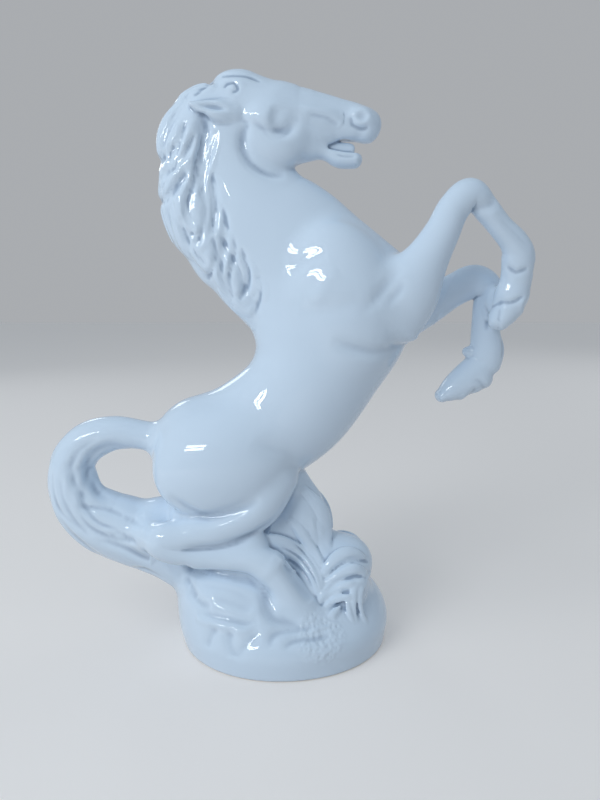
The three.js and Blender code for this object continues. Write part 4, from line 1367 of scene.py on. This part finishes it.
@dataclass
class HindLegs:
    """The folded hind legs, from the gaskin to the hoof."""

    leg: Sequence[Station] = (
        (-4, 89, 12, 11, -12),
        (-14, 75.5, 13, 12, -16),
        (-31, 65.4, 10.4, 10, -19),
        (-46, 61.4, 8.5, 8, -21),
        (-57.5, 58.5, 8.6, 7.2, -22),
        (-45, 52.5, 6.6, 6.2, -22.5),
        (-29, 51, 6.4, 6, -23),
        (-15, 50.5, 7.4, 6.8, -23.5),
        (-7, 47, 8.8, 7.6, -24),
    )
    hoof: Sequence[Station] = (
        (-5, 46, 8.4, 7.6, -24),
        (1, 36.5, 8.8, 8.4, -24),
        (6, 27, 10.4, 9.4, -24),
        (8.5, 18, 11.4, 10.4, -24),
    )

    def shapes(self) -> list[Shape]:
        """Lists what the hind legs are made of.

        Returns:
            Lofts and lumps, of both sides.
        """
        return [
            Loft(self.leg, 3),
            Loft(flipped(self.leg), 3),
            Loft(self.hoof, 1.5, flat=True),
            Loft(flipped(self.hoof), 1.5, flat=True),
            Lump((-46.5, 67.5, 0), (12, 8.5, 20), -12, 5),
            *pair(lambda side: Lump((-66, 59, side * 12), (9, 9, 9), -10, 7)),
            *pair(lambda side: Lump((-31, 57.5, side * 20), (22, 7, 7), -3, 3)),
            *pair(lambda side: Lump((-16, 56.5, side * 18.5), (9, 8, 7), -30, 3)),
        ]


@dataclass
class Tail:
    """Tail that leaves the rump as a loop and comes down to the base behind the hocks."""

    hair: Sequence[Station] = (
        (-50, 100, 8, 9),
        (-60, 104, 7.6, 8.6),
        (-71, 106.6, 7.3, 8),
        (-85, 107.8, 8.4, 8.8),
        (-97.5, 103.6, 10, 9.8),
        (-106, 94, 11, 10.5),
        (-107, 81.5, 12.8, 11.5),
        (-102.5, 69.5, 15, 12),
        (-92, 60.5, 17, 13),
        (-78, 55, 17.8, 14.5),
        (-62, 48, 17, 15),
        (-48, 36, 13, 15),
    )
    grooves: float = 0.16
    count: int = 11
    lines: ClassVar[Sequence[Line]] = (
        Line(1.6, 3.0, ((-80, 101), (-90, 100), (-97.5, 95), (-99.4, 87), (-96, 78.5), (-88, 71.5))),
        Line(0.9, 2.2, ((-91.8, 106), (-103.9, 98), (-108.1, 88.6), (-105.8, 79), (-99, 71))),
        Line(1.28, 2.3, ((-116.3, 61.9), (-107.7, 51.1), (-93.5, 39.3), (-80.6, 34.3), (-67.7, 28.3))),
        Line(1.04, 2.2, ((-107.5, 68.6), (-92, 67.7), (-79.3, 61.9))),
        Line(1.12, 2.2, ((-96.5, 51.1), (-85.6, 47.2), (-74.7, 41.3), (-67.3, 39.3))),
        Line(1.04, 2, ((-106.7, 67.7), (-100.8, 58), (-90, 52.1), (-76.2, 49.2))),
        Line(0.96, 1.9, ((-99.7, 45.2), (-86.2, 35.3), (-73.1, 34.3), (-62.1, 28.3))),
        Line(0.72, 1.8, ((-90.9, 53.1), (-85.3, 54.1), (-77.1, 49.2))),
        Line(0.64, 2.4, ((-83, 62.8), (-79.3, 61.9), (-73.1, 57))),
        Line(0.8, 2, ((-113.5, 84), (-113.8, 73), (-109, 62), (-100, 52))),
        Line(0.72, 1.9, ((-117.6, 88), (-118.4, 76), (-115, 66), (-106, 55))),
        Line(0.8, 1.8, ((-104, 78), (-103, 70), (-96, 60), (-84, 56))),
        Line(-0.64, 2.4, ((-92, 96), (-84, 97.5), (-77, 98.5))),
    )

    def shapes(self) -> list[Shape]:
        """What the tail is made of."""
        return [Loft(self.hair, 5, relief=self._hair), Lump((-62, 62, 0), (13, 11.5, 13), -8, 5)]

    def _hair(self, around: np.ndarray, station: np.ndarray) -> np.ndarray:
        """Works out grooves that turn slowly on their way down the tail.

        Args:
            around: Angles round the tail.
            station: Places along it.

        Returns:
            What the grooves add to the distance.
        """
        growth = np.clip((station - 9) / 11, 0, 1)
        growth = growth * growth * (3 - 2 * growth)
        twist = 0.07 * station + 0.25 * np.sin(station / 2.6)
        return self.grooves * growth * np.cos(self.count * (around + twist))


@dataclass
class Mound:
    """Base with the mound that the horse rears from, hollow and open at its drain."""

    bun: Bun = field(default_factory=Bun)
    rim: float = 9.0
    recess: float = 2.5
    drain: float = 7.0
    hollow: tuple[float, float, float] = (36, 7, 28)
    lines: ClassVar[Sequence[Line]] = (
        Line(1.4, 2.7, ((-50.8, 23.4), (-44.3, 15.3), (-38, 13.5))),
        Line(-1.3, 2.2, ((-47, 6.6), (-39, 4.4), (-32.7, 2.5), (-21.7, -0.3), (-14.6, 1.6))),
        Line(1.3, 3.3, ((-46, 9.4), (-33, 6.2), (-22, 3.8), (-13, 5))),
        Line(1.0, 3.0, ((-28.2, 2.6), (-29.3, -5.8), (-28.4, -12), (-27.6, -17))),
        Line(1.0, 3.0, ((-12.9, 0.1), (-18.6, -6.8), (-23, -11.4), (-27, -17.6))),
        Line(0.9, 2.8, ((-35.5, 2.4), (-39.5, -4), (-41.6, -11))),
        Line(1.2, 2.4, ((-6.5, -11.4), (-7.3, -7.2), (-5.6, -3.5), (-1.3, -1.1), (7.2, 0), (16, 1.2))),
        Line(1.1, 2.2, ((-0.1, -12.4), (2.9, -8.1), (8, -5.8), (15.7, -5.3), (24.9, -3.2))),
        Line(2.0, 3.0, ((-9.6, 25.2), (-9.2, 16.6), (-6, 8.1), (1, 4.4), (9.8, 2.4))),
        Line(1.9, 2.8, ((-59.5, 37.6), (-46, 34), (-34.6, 31.4), (-17.9, 26.9), (-10, 22.9))),
        Line(1.0, 3.3, ((-46, 26), (-33, 24), (-22, 19), (-14, 12))),
        Line(1.0, 3.0, ((-38, 18), (-27, 15), (-17, 10))),
        Line(0.8, 2.1, ((-52, 31), (-48.5, 24.5), (-46, 19))),
    )

    def shapes(self) -> list[Shape]:
        """Lists what the mound is made of.

        Returns:
            The base and lumps, in the order they are blended.
        """
        return [
            self.bun,
            Lump((-24, 25, 0), (31, 26, 35), -8, 12),
            Lump((-9, 9, 0), (40, 30, 41), 0, 12),
            Lump((-20, 52, 0), (28, 14, 16), -10, 8),
            Lump((24, 20, 3), (25, 15, 29), -8, 12),
        ]

    def hollows(self, margin: float = 0.0) -> list[Shape]:
        """What is taken out of the underside.

        Args:
            margin: By how much the inner hollow is widened.

        Returns:
            Shapes that carve.
        """
        long, high, wide = (r + margin for r in self.hollow)
        x = self.bun.middle
        return [
            Well(x, 400, 400, 0),
            Well(x, self.bun.length / 2 - self.rim, self.bun.depth / 2 - self.rim, self.recess),
            Well(x, self.drain, self.drain, 10),
            Lump((x, 13.5, 0), (long, high, wide), 0, 1, carve=True),
        ]


@dataclass
class Grass:
    """Leaves and stems under the belly."""

    blades: Sequence[tuple[float, Sequence[Mark]]] = (
        (6.8, ((18.6, 19), (15.6, 27.9), (9.7, 37.8), (2.2, 45.3), (-6.1, 50.1), (-14, 51))),
        (3.0, ((21, 25.3), (18.5, 36.9), (13.4, 47.5), (7.2, 57.1), (2.3, 62.3))),
        (2.6, ((21.8, 40.4), (20.1, 50.1), (18.9, 59.7), (19.1, 68.9))),
        (1.8, ((18, 47.5), (15.5, 54.5), (14.2, 62.4))),
        (4.2, ((22, 42), (21.6, 55), (19.6, 66), (14.2, 74), (8, 80))),
        (5.2, ((20, 29), (27.2, 38.2), (34.3, 42.6), (43, 40.2))),
        (3.8, ((20.6, 23.5), (29, 31.6), (37.1, 34.4), (44, 32.5))),
        (3.4, ((18.2, 15.3), (24, 22.4), (32.4, 26.3), (40.8, 24.7))),
        (2.8, ((21, 14.6), (26, 17.8), (32, 19), (38, 16.6))),
        (2.0, ((46.1, 33.3), (41.2, 25.3), (40.1, 15.3), (43.7, 3.5))),
        (2.0, ((43.2, 31.5), (37.4, 23.5), (36.7, 15.3), (38.5, 5.2))),
        (1.6, ((33.3, 18), (34.2, 11.7), (36.8, 5.2))),
        (1.5, ((24.1, 6.1), (27.6, 11), (30.8, 14.5))),
    )
    lines: ClassVar[Sequence[Line]] = (
        Line(1.6, 1.3, ((21.5, 29), (28, 35.4), (36, 40), (45, 38.2))),
        Line(1.3, 1.2, ((20.4, 19.6), (28, 26.6), (37, 30.4), (44, 29.4))),
        Line(1.1, 1.1, ((19, 13.6), (26, 19.6), (35, 21.8))),
        Line(0.8, 1.0, ((19.4, 13), (13.4, 27.5), (6.8, 36.5), (-2, 42.3))),
        Line(0.7, 0.9, ((19.6, 18), (14.8, 31.7), (8, 41), (-2, 47))),
        Line(1.0, 0.9, ((20.5, 22), (17.4, 33.7), (11.2, 43), (4, 50.5))),
        Line(2.4, 4.0, ((-0.4, 38.9), (5.4, 31.8), (12.1, 22), (15.4, 16.4))),
        Line(-0.9, 0.8, ((-4.5, 42.9), (-1.1, 39.4), (1.5, 37.9), (3.4, 35), (7.4, 33.2))),
    )

    def shapes(self) -> list[Shape]:
        """Lists what the bulk of the grass is made of.

        Returns:
            Lumps, in the order they are blended.
        """
        return [
            Lump((22, 33, 0), (20, 21, 20), -20, 6),
            Lump((32, 24, -2), (14, 14, 17.5), 0, 5),
            *pair(lambda side: Lump((33, 33, side * 16.4), (9.5, 11, 5.8), 0, 3)),
            *pair(lambda side: Lump((32, 28.5, side * 19.5), (6.5, 7.5, 5.6), 0, 3)),
            Lump((10, 63, 0), (13, 23, 12.5), 12, 8),
            Lump((-8, 56, 0), (15, 14, 16), 0, 8),
            Lump((32, 41, -3), (14, 13, 13.5), -20, 5),
            Lump((6, 84, 0), (6, 9, 10), 10, 5),
        ]

    def leaves(self, clay: Clay, sweep: Sweep) -> Shape:
        """Sweeps the leaves.

        Args:
            clay: What they lie on.
            sweep: What they are swept with.

        Returns:
            The leaves on both flanks.
        """
        strands = []
        shift = np.random.default_rng(11)
        for side in Side:
            for girth, marks in self.blades:
                stir = shift.normal(0, 1.6, 2) if side is Side.LEFT else np.zeros(2)
                path = [(x + stir[0], z + stir[1]) for x, z in marks]
                strands.append(strand_on(clay, path, side, girth, -0.22, 0.14))
        corners, triangles = sweep.swept(
            [s for s in strands if s], pitch=HAIR_PITCH, flatness=0.38, ridge_depth=0.05, ridges=1.0
        )
        return Modelled(corners, triangles, HAIR_VOXEL, 1.0)


@dataclass(frozen=True)
class Joint:
    """Plane of a lute joint: a point in the middle plane and the direction that it faces."""

    x: float
    z: float
    nx: float
    nz: float

    def ahead(self, spots: np.ndarray) -> np.ndarray:
        """How far the spots lie beyond the joint."""
        return (spots[:, 0] - self.x) * self.nx + (spots[:, 2] - self.z) * self.nz


TAIL_JOINT = Joint(-66.5, 80, -1, 0)
HIND_JOINT = Joint(0, 73, 0, -1)
FORELEG_JOINT = Joint(60, 174, 0.995, 0.1)
WITHERS_JOINT = Joint(-13.5, 156, -0.51, 0.86)
POLL_JOINT = Joint(8.5, 231, 0.377, 0.926)
PARTING_Y = 3.5  # the right hoof touches the left leg here


@dataclass(frozen=True)
class Region:
    """Box of the clay that is skinned at one pitch."""

    low: tuple[float, float, float]
    high: tuple[float, float, float]
    voxel: float


HEAD_REGION = Region((-68, -26, 222), (52, 26, 288), 0.6)
NECK_REGION = Region((-70, -34, 136), (68, 34, 268), 0.7)
TORSO_REGION = Region((-76, -40, 68), (70, 40, 214), 0.8)
FORELEG_REGION = Region((50, -34, 112), (126, 34, 234), 0.6)
TAIL_REGION = Region((-132, -30, 12), (-56, 30, 126), 0.65)
LOWER_REGION = Region((-76, -56, -4), (66, 56, 100), 0.7)


class Figure:
    """The whole animal on its base, as fields of clay, and the castings that it is cut into."""

    def __init__(self, sweep: Sweep) -> None:
        """Sculpts the clay.

        Args:
            sweep: What the locks and the leaves are swept with.
        """
        log.info("sculpting")
        trunk, neck, head, forelegs = Trunk(), Neck(), Head(), Forelegs()
        tail, mound, grass = Tail(), Mound(), Grass()
        body = [
            *trunk.shapes(),
            *neck.shapes(),
            *head.shapes(),
            *forelegs.shapes(),
            *HindLegs().shapes(),
        ]
        hair = tail.shapes()
        body.append(neck.hair(Clay(body), sweep))
        self.body = Clay(body)
        self.tail = Clay(hair)
        self.mound = Clay(mound.shapes() + mound.hollows())
        bulk = grass.shapes()
        leaves = grass.leaves(Clay(bulk + mound.shapes()), sweep)
        self.grass = Clay([*bulk, leaves, *mound.hollows(1.5)])
        parts = [Group(Clay(body + hair), 1.0), Group(self.mound, 4.0), Group(self.grass, 1.6)]
        plain = Clay(parts + mound.hollows())
        forms = (trunk, neck, head, forelegs, tail, mound, grass)
        stirs = (0.5, 0.8, 0.1, 0.0, 1.0, 2.0, 1.5)
        strokes = []
        for seed, (form, stir) in enumerate(zip(forms, stirs)):
            strokes += strokes_of(plain, form.lines, seed, stir)
        self.whole = Clay(plain.shapes, strokes)
        log.info("%d strokes", len(strokes))

    def skin_in(self, region: Region) -> Skin:
        """The skin of the clay in a box."""
        low, high = np.array(region.low, float), np.array(region.high, float)
        return skinned(sampled(self.whole, low, high, region.voxel * ROUGH))

    def castings(self) -> dict[str, Skin]:
        """Cuts the skin at the lute joints.

        Returns:
            The skin of each casting by the name of its node.
        """
        out = {}
        head = self.skin_in(HEAD_REGION)
        out["head"] = head.parted(POLL_JOINT.ahead(head.spots))
        neck = self.skin_in(NECK_REGION)
        neck = neck.parted(-POLL_JOINT.ahead(neck.spots))
        neck = neck.parted(WITHERS_JOINT.ahead(neck.spots))
        out["neck"] = neck.parted(-FORELEG_JOINT.ahead(neck.spots))
        torso = self.skin_in(TORSO_REGION)
        for joint in (WITHERS_JOINT, FORELEG_JOINT, HIND_JOINT, TAIL_JOINT):
            torso = torso.parted(-joint.ahead(torso.spots))
        out["torso"] = torso.parted(self.grass.distance(torso.spots) - self.body.distance(torso.spots))
        legs = self.skin_in(FORELEG_REGION)
        legs = legs.parted(FORELEG_JOINT.ahead(legs.spots))
        out["right_foreleg"] = legs.parted(PARTING_Y - legs.spots[:, 1])
        out["left_foreleg"] = legs.parted(legs.spots[:, 1] - PARTING_Y)
        tail = self.skin_in(TAIL_REGION)
        out["tail"] = tail.parted(TAIL_JOINT.ahead(tail.spots))
        out.update(self._lower())
        return out

    def _lower(self) -> dict[str, Skin]:
        """Cuts the castings below the hind joint, and the grass.

        Returns:
            The skin of each of them by the name of its node.
        """
        lower = self.skin_in(LOWER_REGION)
        lower = lower.parted(-TAIL_JOINT.ahead(lower.spots))

        def others(spots: np.ndarray) -> np.ndarray:
            """Distance from the body and the ground."""
            return np.minimum(self.body.distance(spots), self._ground(spots))

        grass = others(lower.spots) - self.grass.distance(lower.spots)
        out = {"grass_clump": lower.parted(grass)}
        rest = lower.parted(-grass)
        rest = rest.parted(HIND_JOINT.ahead(rest.spots))
        hind = self._ground(rest.spots) - self.body.distance(rest.spots)
        legs = rest.parted(hind)
        out["right_hind_leg"] = legs.parted(-legs.spots[:, 1])
        out["left_hind_leg"] = legs.parted(legs.spots[:, 1])
        out["base_mound"] = rest.parted(-hind)
        return out

    def _ground(self, spots: np.ndarray) -> np.ndarray:
        """Distance from the mound with the end of the tail."""
        return np.minimum(self.mound.distance(spots), self.tail.distance(spots))


class Casting:
    """One slip casting as a Blender object."""

    def __init__(self, node: str, skin: Skin, glaze: bpy.types.Material) -> None:
        """Makes the mesh of the casting and closes it at its joints.

        Args:
            node: Name of the CAD node that it stands for.
            skin: Its outer surface.
            glaze: Material.
        """
        mesh = bpy.data.meshes.new(node + "_glazed")
        self._shade(mesh, skin, self._close(mesh, skin))
        # Hollowness at each corner, read by the glaze to darken creases as thicker glaze and as painted
        # shade.
        pooling_and_shade = mesh.attributes.new("pooling_and_shade", "FLOAT", "POINT")
        pooling_and_shade.data.foreach_set("value", skin.pooling_and_shade.astype(np.float32))
        mesh.materials.append(glaze)
        self.piece = bpy.data.objects.new(node + "_glazed", mesh)
        bpy.context.scene.collection.objects.link(self.piece)
        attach(self.piece, "root")
        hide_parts(node)
        log.info("%s: %d triangles", node, len(mesh.polygons))

    @staticmethod
    def _close(mesh: bpy.types.Mesh, skin: Skin) -> int:
        """Fills the mesh with the skin and a face over each opening.

        Args:
            mesh: Empty mesh.
            skin: Outer surface, open at the joints.

        Returns:
            Number of faces of the skin, which come before the ones that close it.
        """
        bm = bmesh.new()
        verts = [bm.verts.new(p) for p in skin.spots * MM]
        for a, b, c in skin.faces:
            bm.faces.new((verts[a], verts[b], verts[c]))
        count = len(bm.faces)
        rim = [e for e in bm.edges if e.is_boundary]
        filled = bmesh.ops.holes_fill(bm, edges=rim, sides=0)["faces"]
        bmesh.ops.triangulate(bm, faces=filled)
        bm.to_mesh(mesh)
        bm.free()
        return count

    @staticmethod
    def _shade(mesh: bpy.types.Mesh, skin: Skin, count: int) -> None:
        """Gives the skin the normals of the clay, and leaves the joints flat.

        Args:
            mesh: Closed mesh.
            skin: Outer surface with its normals.
            count: Number of faces of the skin.
        """
        mesh.polygons.foreach_set("use_smooth", np.ones(len(mesh.polygons), bool))
        corners = np.zeros(len(mesh.loops), int)
        mesh.loops.foreach_get("vertex_index", corners)
        normals = skin.normals[corners]
        flat = np.zeros(len(mesh.polygons) * 3)
        mesh.polygons.foreach_get("normal", flat)
        flat = flat.reshape(-1, 3)
        normals[count * 3 :] = np.repeat(flat[count:], 3, axis=0)
        mesh.normals_split_custom_set(normals.tolist())


class Shading:
    """A shader node group that is built once and shared."""

    def __init__(self, name: str, inputs: dict[str, object], output: str, kind: str) -> None:
        """Opens the group.

        Args:
            name: Name of the group.
            inputs: Default value of each input. A tuple stands for a colour.
            output: Name of what it gives.
            kind: Socket type of that.
        """
        self.tree = bpy.data.node_groups.new(name, "ShaderNodeTree")
        for label, value in inputs.items():
            flavour = "NodeSocketColor" if isinstance(value, tuple) else "NodeSocketFloat"
            socket = self.tree.interface.new_socket(label, in_out="INPUT", socket_type=flavour)
            socket.default_value = value
        self.tree.interface.new_socket(output, in_out="OUTPUT", socket_type=kind)
        self.given = self.tree.nodes.new("NodeGroupInput").outputs
        self.result = self.tree.nodes.new("NodeGroupOutput").inputs[output]

    def add(self, kind: str, values: dict[str, object], **settings: object) -> bpy.types.Node:
        """Adds a node.

        Args:
            kind: Type of the node.
            values: Value or socket for each of its inputs, by name or number.
            settings: Properties of the node.

        Returns:
            The node.
        """
        node = self.tree.nodes.new(kind)
        for name, value in settings.items():
            setattr(node, name, value)
        for name, value in values.items():
            socket = node.inputs[int(name)] if name.isdigit() else node.inputs[name]
            if isinstance(value, bpy.types.NodeSocket):
                self.tree.links.new(value, socket)
            else:
                socket.default_value = value
        return node

    def give(self, socket: bpy.types.NodeSocket) -> bpy.types.NodeTree:
        """Links what the group gives, and returns its tree."""
        self.tree.links.new(socket, self.result)
        return self.tree


@dataclass(frozen=True)
class Glaze:
    """Clear glaze over white porcelain, bluer and darker in hollows and creases, partly as glaze lying
    thicker and partly as painted shade, and wiped off the foot ring.
    """

    body: tuple[float, float, float, float] = (0.70, 0.81, 0.93, 1.0)
    # Dark blue grey of thicker glaze in hollows, which also paints shade into creases.
    pooled_and_shaded: tuple[float, float, float, float] = (0.34, 0.43, 0.56, 1.0)
    bare: tuple[float, float, float, float] = (0.72, 0.68, 0.60, 1.0)
    gloss: float = 0.03
    matt: float = 0.7
    ior: float = 1.56
    ripple: float = 0.0005  # waviness of the glaze
    ripple_scale: float = 38.0
    pebble: float = 0.0008  # height of the pebbled patch of the mound
    pebble_scale: float = 480.0
    patch: tuple[float, float, float] = (0.019, 0.040, 0.020)
    patch_core: float = 0.008
    patch_rim: float = 0.015
    wiped_height: float = 0.0005

    def _tint(self) -> bpy.types.NodeTree:
        """Builds the group for the colour by how hollow the skin is: darker and bluer in hollows and creases,
        as glaze lying thicker and as painted shade.

        Returns:
            The tree of the group.
        """
        inputs = {"Pooling_And_Shade": 0.0, "Body": self.body, "Pooled_And_Shaded": self.pooled_and_shaded}
        group = Shading("glaze_tint", inputs, "Color", "NodeSocketColor")
        share = group.add(
            "ShaderNodeMapRange",
            {"Value": group.given["Pooling_And_Shade"], "From Max": 1.0},
            interpolation_type="SMOOTHSTEP",
        )
        # Mixes towards the dark colour in hollows: thicker glaze and painted shade.
        mixed = group.add("ShaderNodeMix", {"0": share.outputs["Result"]}, data_type="RGBA")
        group.tree.links.new(group.given["Body"], mixed.inputs[6])
        group.tree.links.new(group.given["Pooled_And_Shaded"], mixed.inputs[7])
        return group.give(mixed.outputs[2])

    def _relief(self) -> bpy.types.NodeTree:
        """Builds the group for the normal of the wavy glaze, pebbled in a patch on each flank of the mound.

        Returns:
            The tree of the group.
        """
        inputs = {"Ripple": self.ripple, "Pebble": self.pebble}
        group = Shading("glaze_relief", inputs, "Normal", "NodeSocketVector")
        place = group.add("ShaderNodeTexCoord", {}).outputs["Object"]
        wave = group.add("ShaderNodeTexNoise", {"Vector": place, "Scale": self.ripple_scale, "Detail": 0.5})
        wavy = group.add("ShaderNodeBump", {"Height": wave.outputs["Fac"], "Distance": group.given["Ripple"]})
        apart = group.add("ShaderNodeSeparateXYZ", {"Vector": place})
        flank = group.add("ShaderNodeMath", {"0": apart.outputs["Y"]}, operation="ABSOLUTE")
        folded = group.add(
            "ShaderNodeCombineXYZ", {"X": apart.outputs["X"], "Y": flank.outputs[0], "Z": apart.outputs["Z"]}
        )
        ends = {"0": folded.outputs[0], "1": self.patch}
        away = group.add("ShaderNodeVectorMath", ends, operation="DISTANCE")
        near = group.add(
            "ShaderNodeMapRange",
            {"Value": away.outputs["Value"], "From Min": self.patch_rim, "From Max": self.patch_core},
            interpolation_type="SMOOTHSTEP",
        )
        cells = {"Vector": place, "Scale": self.pebble_scale}
        grain = group.add("ShaderNodeTexVoronoi", cells, feature="SMOOTH_F1")
        factors = {"0": grain.outputs["Distance"], "1": near.outputs["Result"]}
        height = group.add("ShaderNodeMath", factors, operation="MULTIPLY")
        bumps = {"Height": height.outputs[0], "Distance": group.given["Pebble"]}
        pebbled = group.add("ShaderNodeBump", {**bumps, "Normal": wavy.outputs["Normal"]})
        return group.give(pebbled.outputs["Normal"])

    def _wiped(self) -> bpy.types.NodeTree:
        """Builds the group for the mask of the foot ring, where the figurine stood in the kiln.

        Returns:
            The tree of the group.
        """
        group = Shading("glaze_wiped", {"Height": self.wiped_height}, "Mask", "NodeSocketFloat")
        place = group.add("ShaderNodeTexCoord", {}).outputs["Object"]
        apart = group.add("ShaderNodeSeparateXYZ", {"Vector": place})
        sides = {"0": apart.outputs["Z"], "1": group.given["Height"]}
        low = group.add("ShaderNodeMath", sides, operation="LESS_THAN")
        return group.give(low.outputs[0])

    def material(self) -> bpy.types.Material:
        """Builds the material.

        Returns:
            The material, which reads the hollowness attribute of a casting and darkens creases with it, as
            glaze lying thicker and as painted shade.
        """
        made = bpy.data.materials.new(SLOT)
        made.use_nodes = True
        nodes, links = made.node_tree.nodes, made.node_tree.links
        shader = nodes["Principled BSDF"]
        # Hollowness of the casting, which darkens creases as thicker glaze and as painted shade.
        pooling_and_shade = nodes.new("ShaderNodeAttribute")
        pooling_and_shade.attribute_name = "pooling_and_shade"
        trees = (self._tint(), self._relief(), self._wiped())
        tint, relief, wiped = (self._use(nodes, tree) for tree in trees)
        links.new(pooling_and_shade.outputs["Fac"], tint.inputs["Pooling_And_Shade"])
        colour = nodes.new("ShaderNodeMix")
        colour.data_type = "RGBA"
        links.new(wiped.outputs["Mask"], colour.inputs[0])
        links.new(tint.outputs["Color"], colour.inputs[6])
        colour.inputs[7].default_value = self.bare
        links.new(colour.outputs[2], shader.inputs["Base Color"])
        finish = nodes.new("ShaderNodeMapRange")
        finish.inputs["To Min"].default_value = self.gloss
        finish.inputs["To Max"].default_value = self.matt
        links.new(wiped.outputs["Mask"], finish.inputs["Value"])
        links.new(finish.outputs["Result"], shader.inputs["Roughness"])
        links.new(relief.outputs["Normal"], shader.inputs["Normal"])
        shader.inputs["IOR"].default_value = self.ior
        return made

    @staticmethod
    def _use(nodes: bpy.types.Nodes, tree: bpy.types.NodeTree) -> bpy.types.Node:
        """Puts a group into the material.

        Args:
            nodes: Nodes of the material.
            tree: The group.

        Returns:
            The node of the group.
        """
        node = nodes.new("ShaderNodeGroup")
        node.node_tree = tree
        return node


@dataclass(frozen=True)
class Lamp:
    """Area light that faces the figurine. An unseen one doesn't show in the glaze."""

    name: str
    place: tuple[float, float, float]
    size: tuple[float, float]
    power: float
    seen: bool


@dataclass
class Studio:
    """Pale floor, soft light and the camera of the photograph."""

    pitch: float = 10.0
    lens: float = 19.2
    sensor: float = 24.0
    clip_start: float = 0.01
    backdrop: tuple[float, float, float] = (0.40, 0.415, 0.435)
    floor_reach: float = 3.0
    floor_colour: tuple[float, float, float] = (0.78, 0.73, 0.70)
    floor_roughness: float = 0.8
    lift: tuple[float, float, float] = (0.17, 0.17, 0.17)
    sky_colour: tuple[float, float, float] = (0.72, 0.86, 1.0)
    sky_strength: float = 0.35
    daylight: tuple[float, float, float] = (0.88, 0.95, 1.0)
    aim: tuple[float, float, float] = (0.0, 0.0, 0.15)
    lamps: tuple[Lamp, ...] = (
        Lamp("upper_pane", (-0.550, -0.658, 0.535), (0.40, 0.054), 1.0, True),
        Lamp("lower_pane", (-0.570, -0.682, 0.465), (0.40, 0.054), 1.0, True),
        Lamp("sky", (-0.7, -0.6, 0.9), (1.0, 1.0), 5.0, False),
        Lamp("fill", (0.9, -0.5, 0.5), (0.5, 0.5), 0.4, False),
        Lamp("far_sky", (1.0, 0.75, 0.9), (1.0, 1.0), 2.4, False),
        Lamp("far_pane", (-0.60, 0.85, 0.60), (0.24, 0.30), 0.6, True),
    )

    def set_up(self) -> None:
        """Builds the floor, the lights and the camera."""
        self._floor()
        self._sky()
        self._window()
        self._camera()

    def _floor(self) -> None:
        """A plain floor that takes the shadow."""
        mesh = bpy.data.meshes.new("floor")
        r = self.floor_reach
        mesh.from_pydata([(-r, -r, 0), (r, -r, 0), (r, r, 0), (-r, r, 0)], [], [(0, 1, 2, 3)])
        made = bpy.data.materials.new("floor")
        made.use_nodes = True
        nodes, links = made.node_tree.nodes, made.node_tree.links
        shader = nodes["Principled BSDF"]
        shader.inputs["Base Color"].default_value = (*self.floor_colour, 1)
        shader.inputs["Roughness"].default_value = self.floor_roughness
        shader.inputs["Emission Color"].default_value = (*self.lift, 1)
        links.new(self._seen(made.node_tree), shader.inputs["Emission Strength"])
        mesh.materials.append(made)
        floor = bpy.data.objects.new("floor", mesh)
        bpy.context.scene.collection.objects.link(floor)

    @staticmethod
    def _seen(tree: bpy.types.NodeTree) -> bpy.types.NodeSocket:
        """Tells what the camera sees, also in a reflection or through glass, from what lights the scene.

        Args:
            tree: Nodes of a material or of the world.

        Returns:
            A socket that gives one for what is seen, and nought for light.
        """
        path = tree.nodes.new("ShaderNodeLightPath")
        last = path.outputs["Is Camera Ray"]
        for name in ("Is Glossy Ray", "Is Transmission Ray"):
            either = tree.nodes.new("ShaderNodeMath")
            either.operation = "MAXIMUM"
            tree.links.new(last, either.inputs[0])
            tree.links.new(path.outputs[name], either.inputs[1])
            last = either.outputs[0]
        return last

    def _sky(self) -> None:
        """Soft light from all round, and the pale backdrop that the camera sees."""
        world = bpy.data.worlds.new("studio")
        bpy.context.scene.world = world
        world.use_nodes = True
        nodes, links = world.node_tree.nodes, world.node_tree.links
        light = nodes["Background"]
        light.inputs["Color"].default_value = (*self.sky_colour, 1)
        light.inputs["Strength"].default_value = self.sky_strength
        backdrop = nodes.new("ShaderNodeBackground")
        backdrop.inputs["Color"].default_value = (*self.backdrop, 1)
        either = nodes.new("ShaderNodeMixShader")
        links.new(self._seen(world.node_tree), either.inputs[0])
        links.new(light.outputs[0], either.inputs[1])
        links.new(backdrop.outputs[0], either.inputs[2])
        links.new(either.outputs[0], nodes["World Output"].inputs["Surface"])

    def _window(self) -> None:
        """Two low panes to the upper left, a smaller one behind, and soft light unseen in the glaze."""
        for lamp in self.lamps:
            light = bpy.data.lights.new(lamp.name, "AREA")
            light.shape = "RECTANGLE"
            light.size, light.size_y = lamp.size
            light.energy = lamp.power
            light.color = self.daylight
            holder = bpy.data.objects.new(lamp.name, light)
            holder.location = lamp.place
            holder.visible_glossy = lamp.seen
            towards = Vector(self.aim) - Vector(lamp.place)
            holder.rotation_euler = towards.to_track_quat("-Z", "Y").to_euler()
            bpy.context.scene.collection.objects.link(holder)

    def _camera(self) -> None:
        """The camera of the photograph."""
        camera = bpy.data.cameras.new("camera")
        camera.sensor_fit = "VERTICAL"
        camera.sensor_height = self.sensor
        camera.lens = self.lens
        camera.clip_start = self.clip_start
        holder = bpy.data.objects.new("camera", camera)
        holder.location = EYE * MM
        holder.rotation_euler = (math.radians(90 - self.pitch), 0, 0)
        bpy.context.scene.collection.objects.link(holder)
        bpy.context.scene.camera = holder


def main() -> None:
    """Builds the figurine, piece by piece, and the studio round it."""
    glaze = Glaze().material()
    figure = Figure(Sweep(glaze))
    for node, skin in figure.castings().items():
        Casting(node, skin, glaze)
    Studio().set_up()
    bpy.context.scene.view_settings.view_transform = "Standard"


if __name__ == "__main__":
    logging.basicConfig(level=logging.INFO, format="%(message)s")
    main()
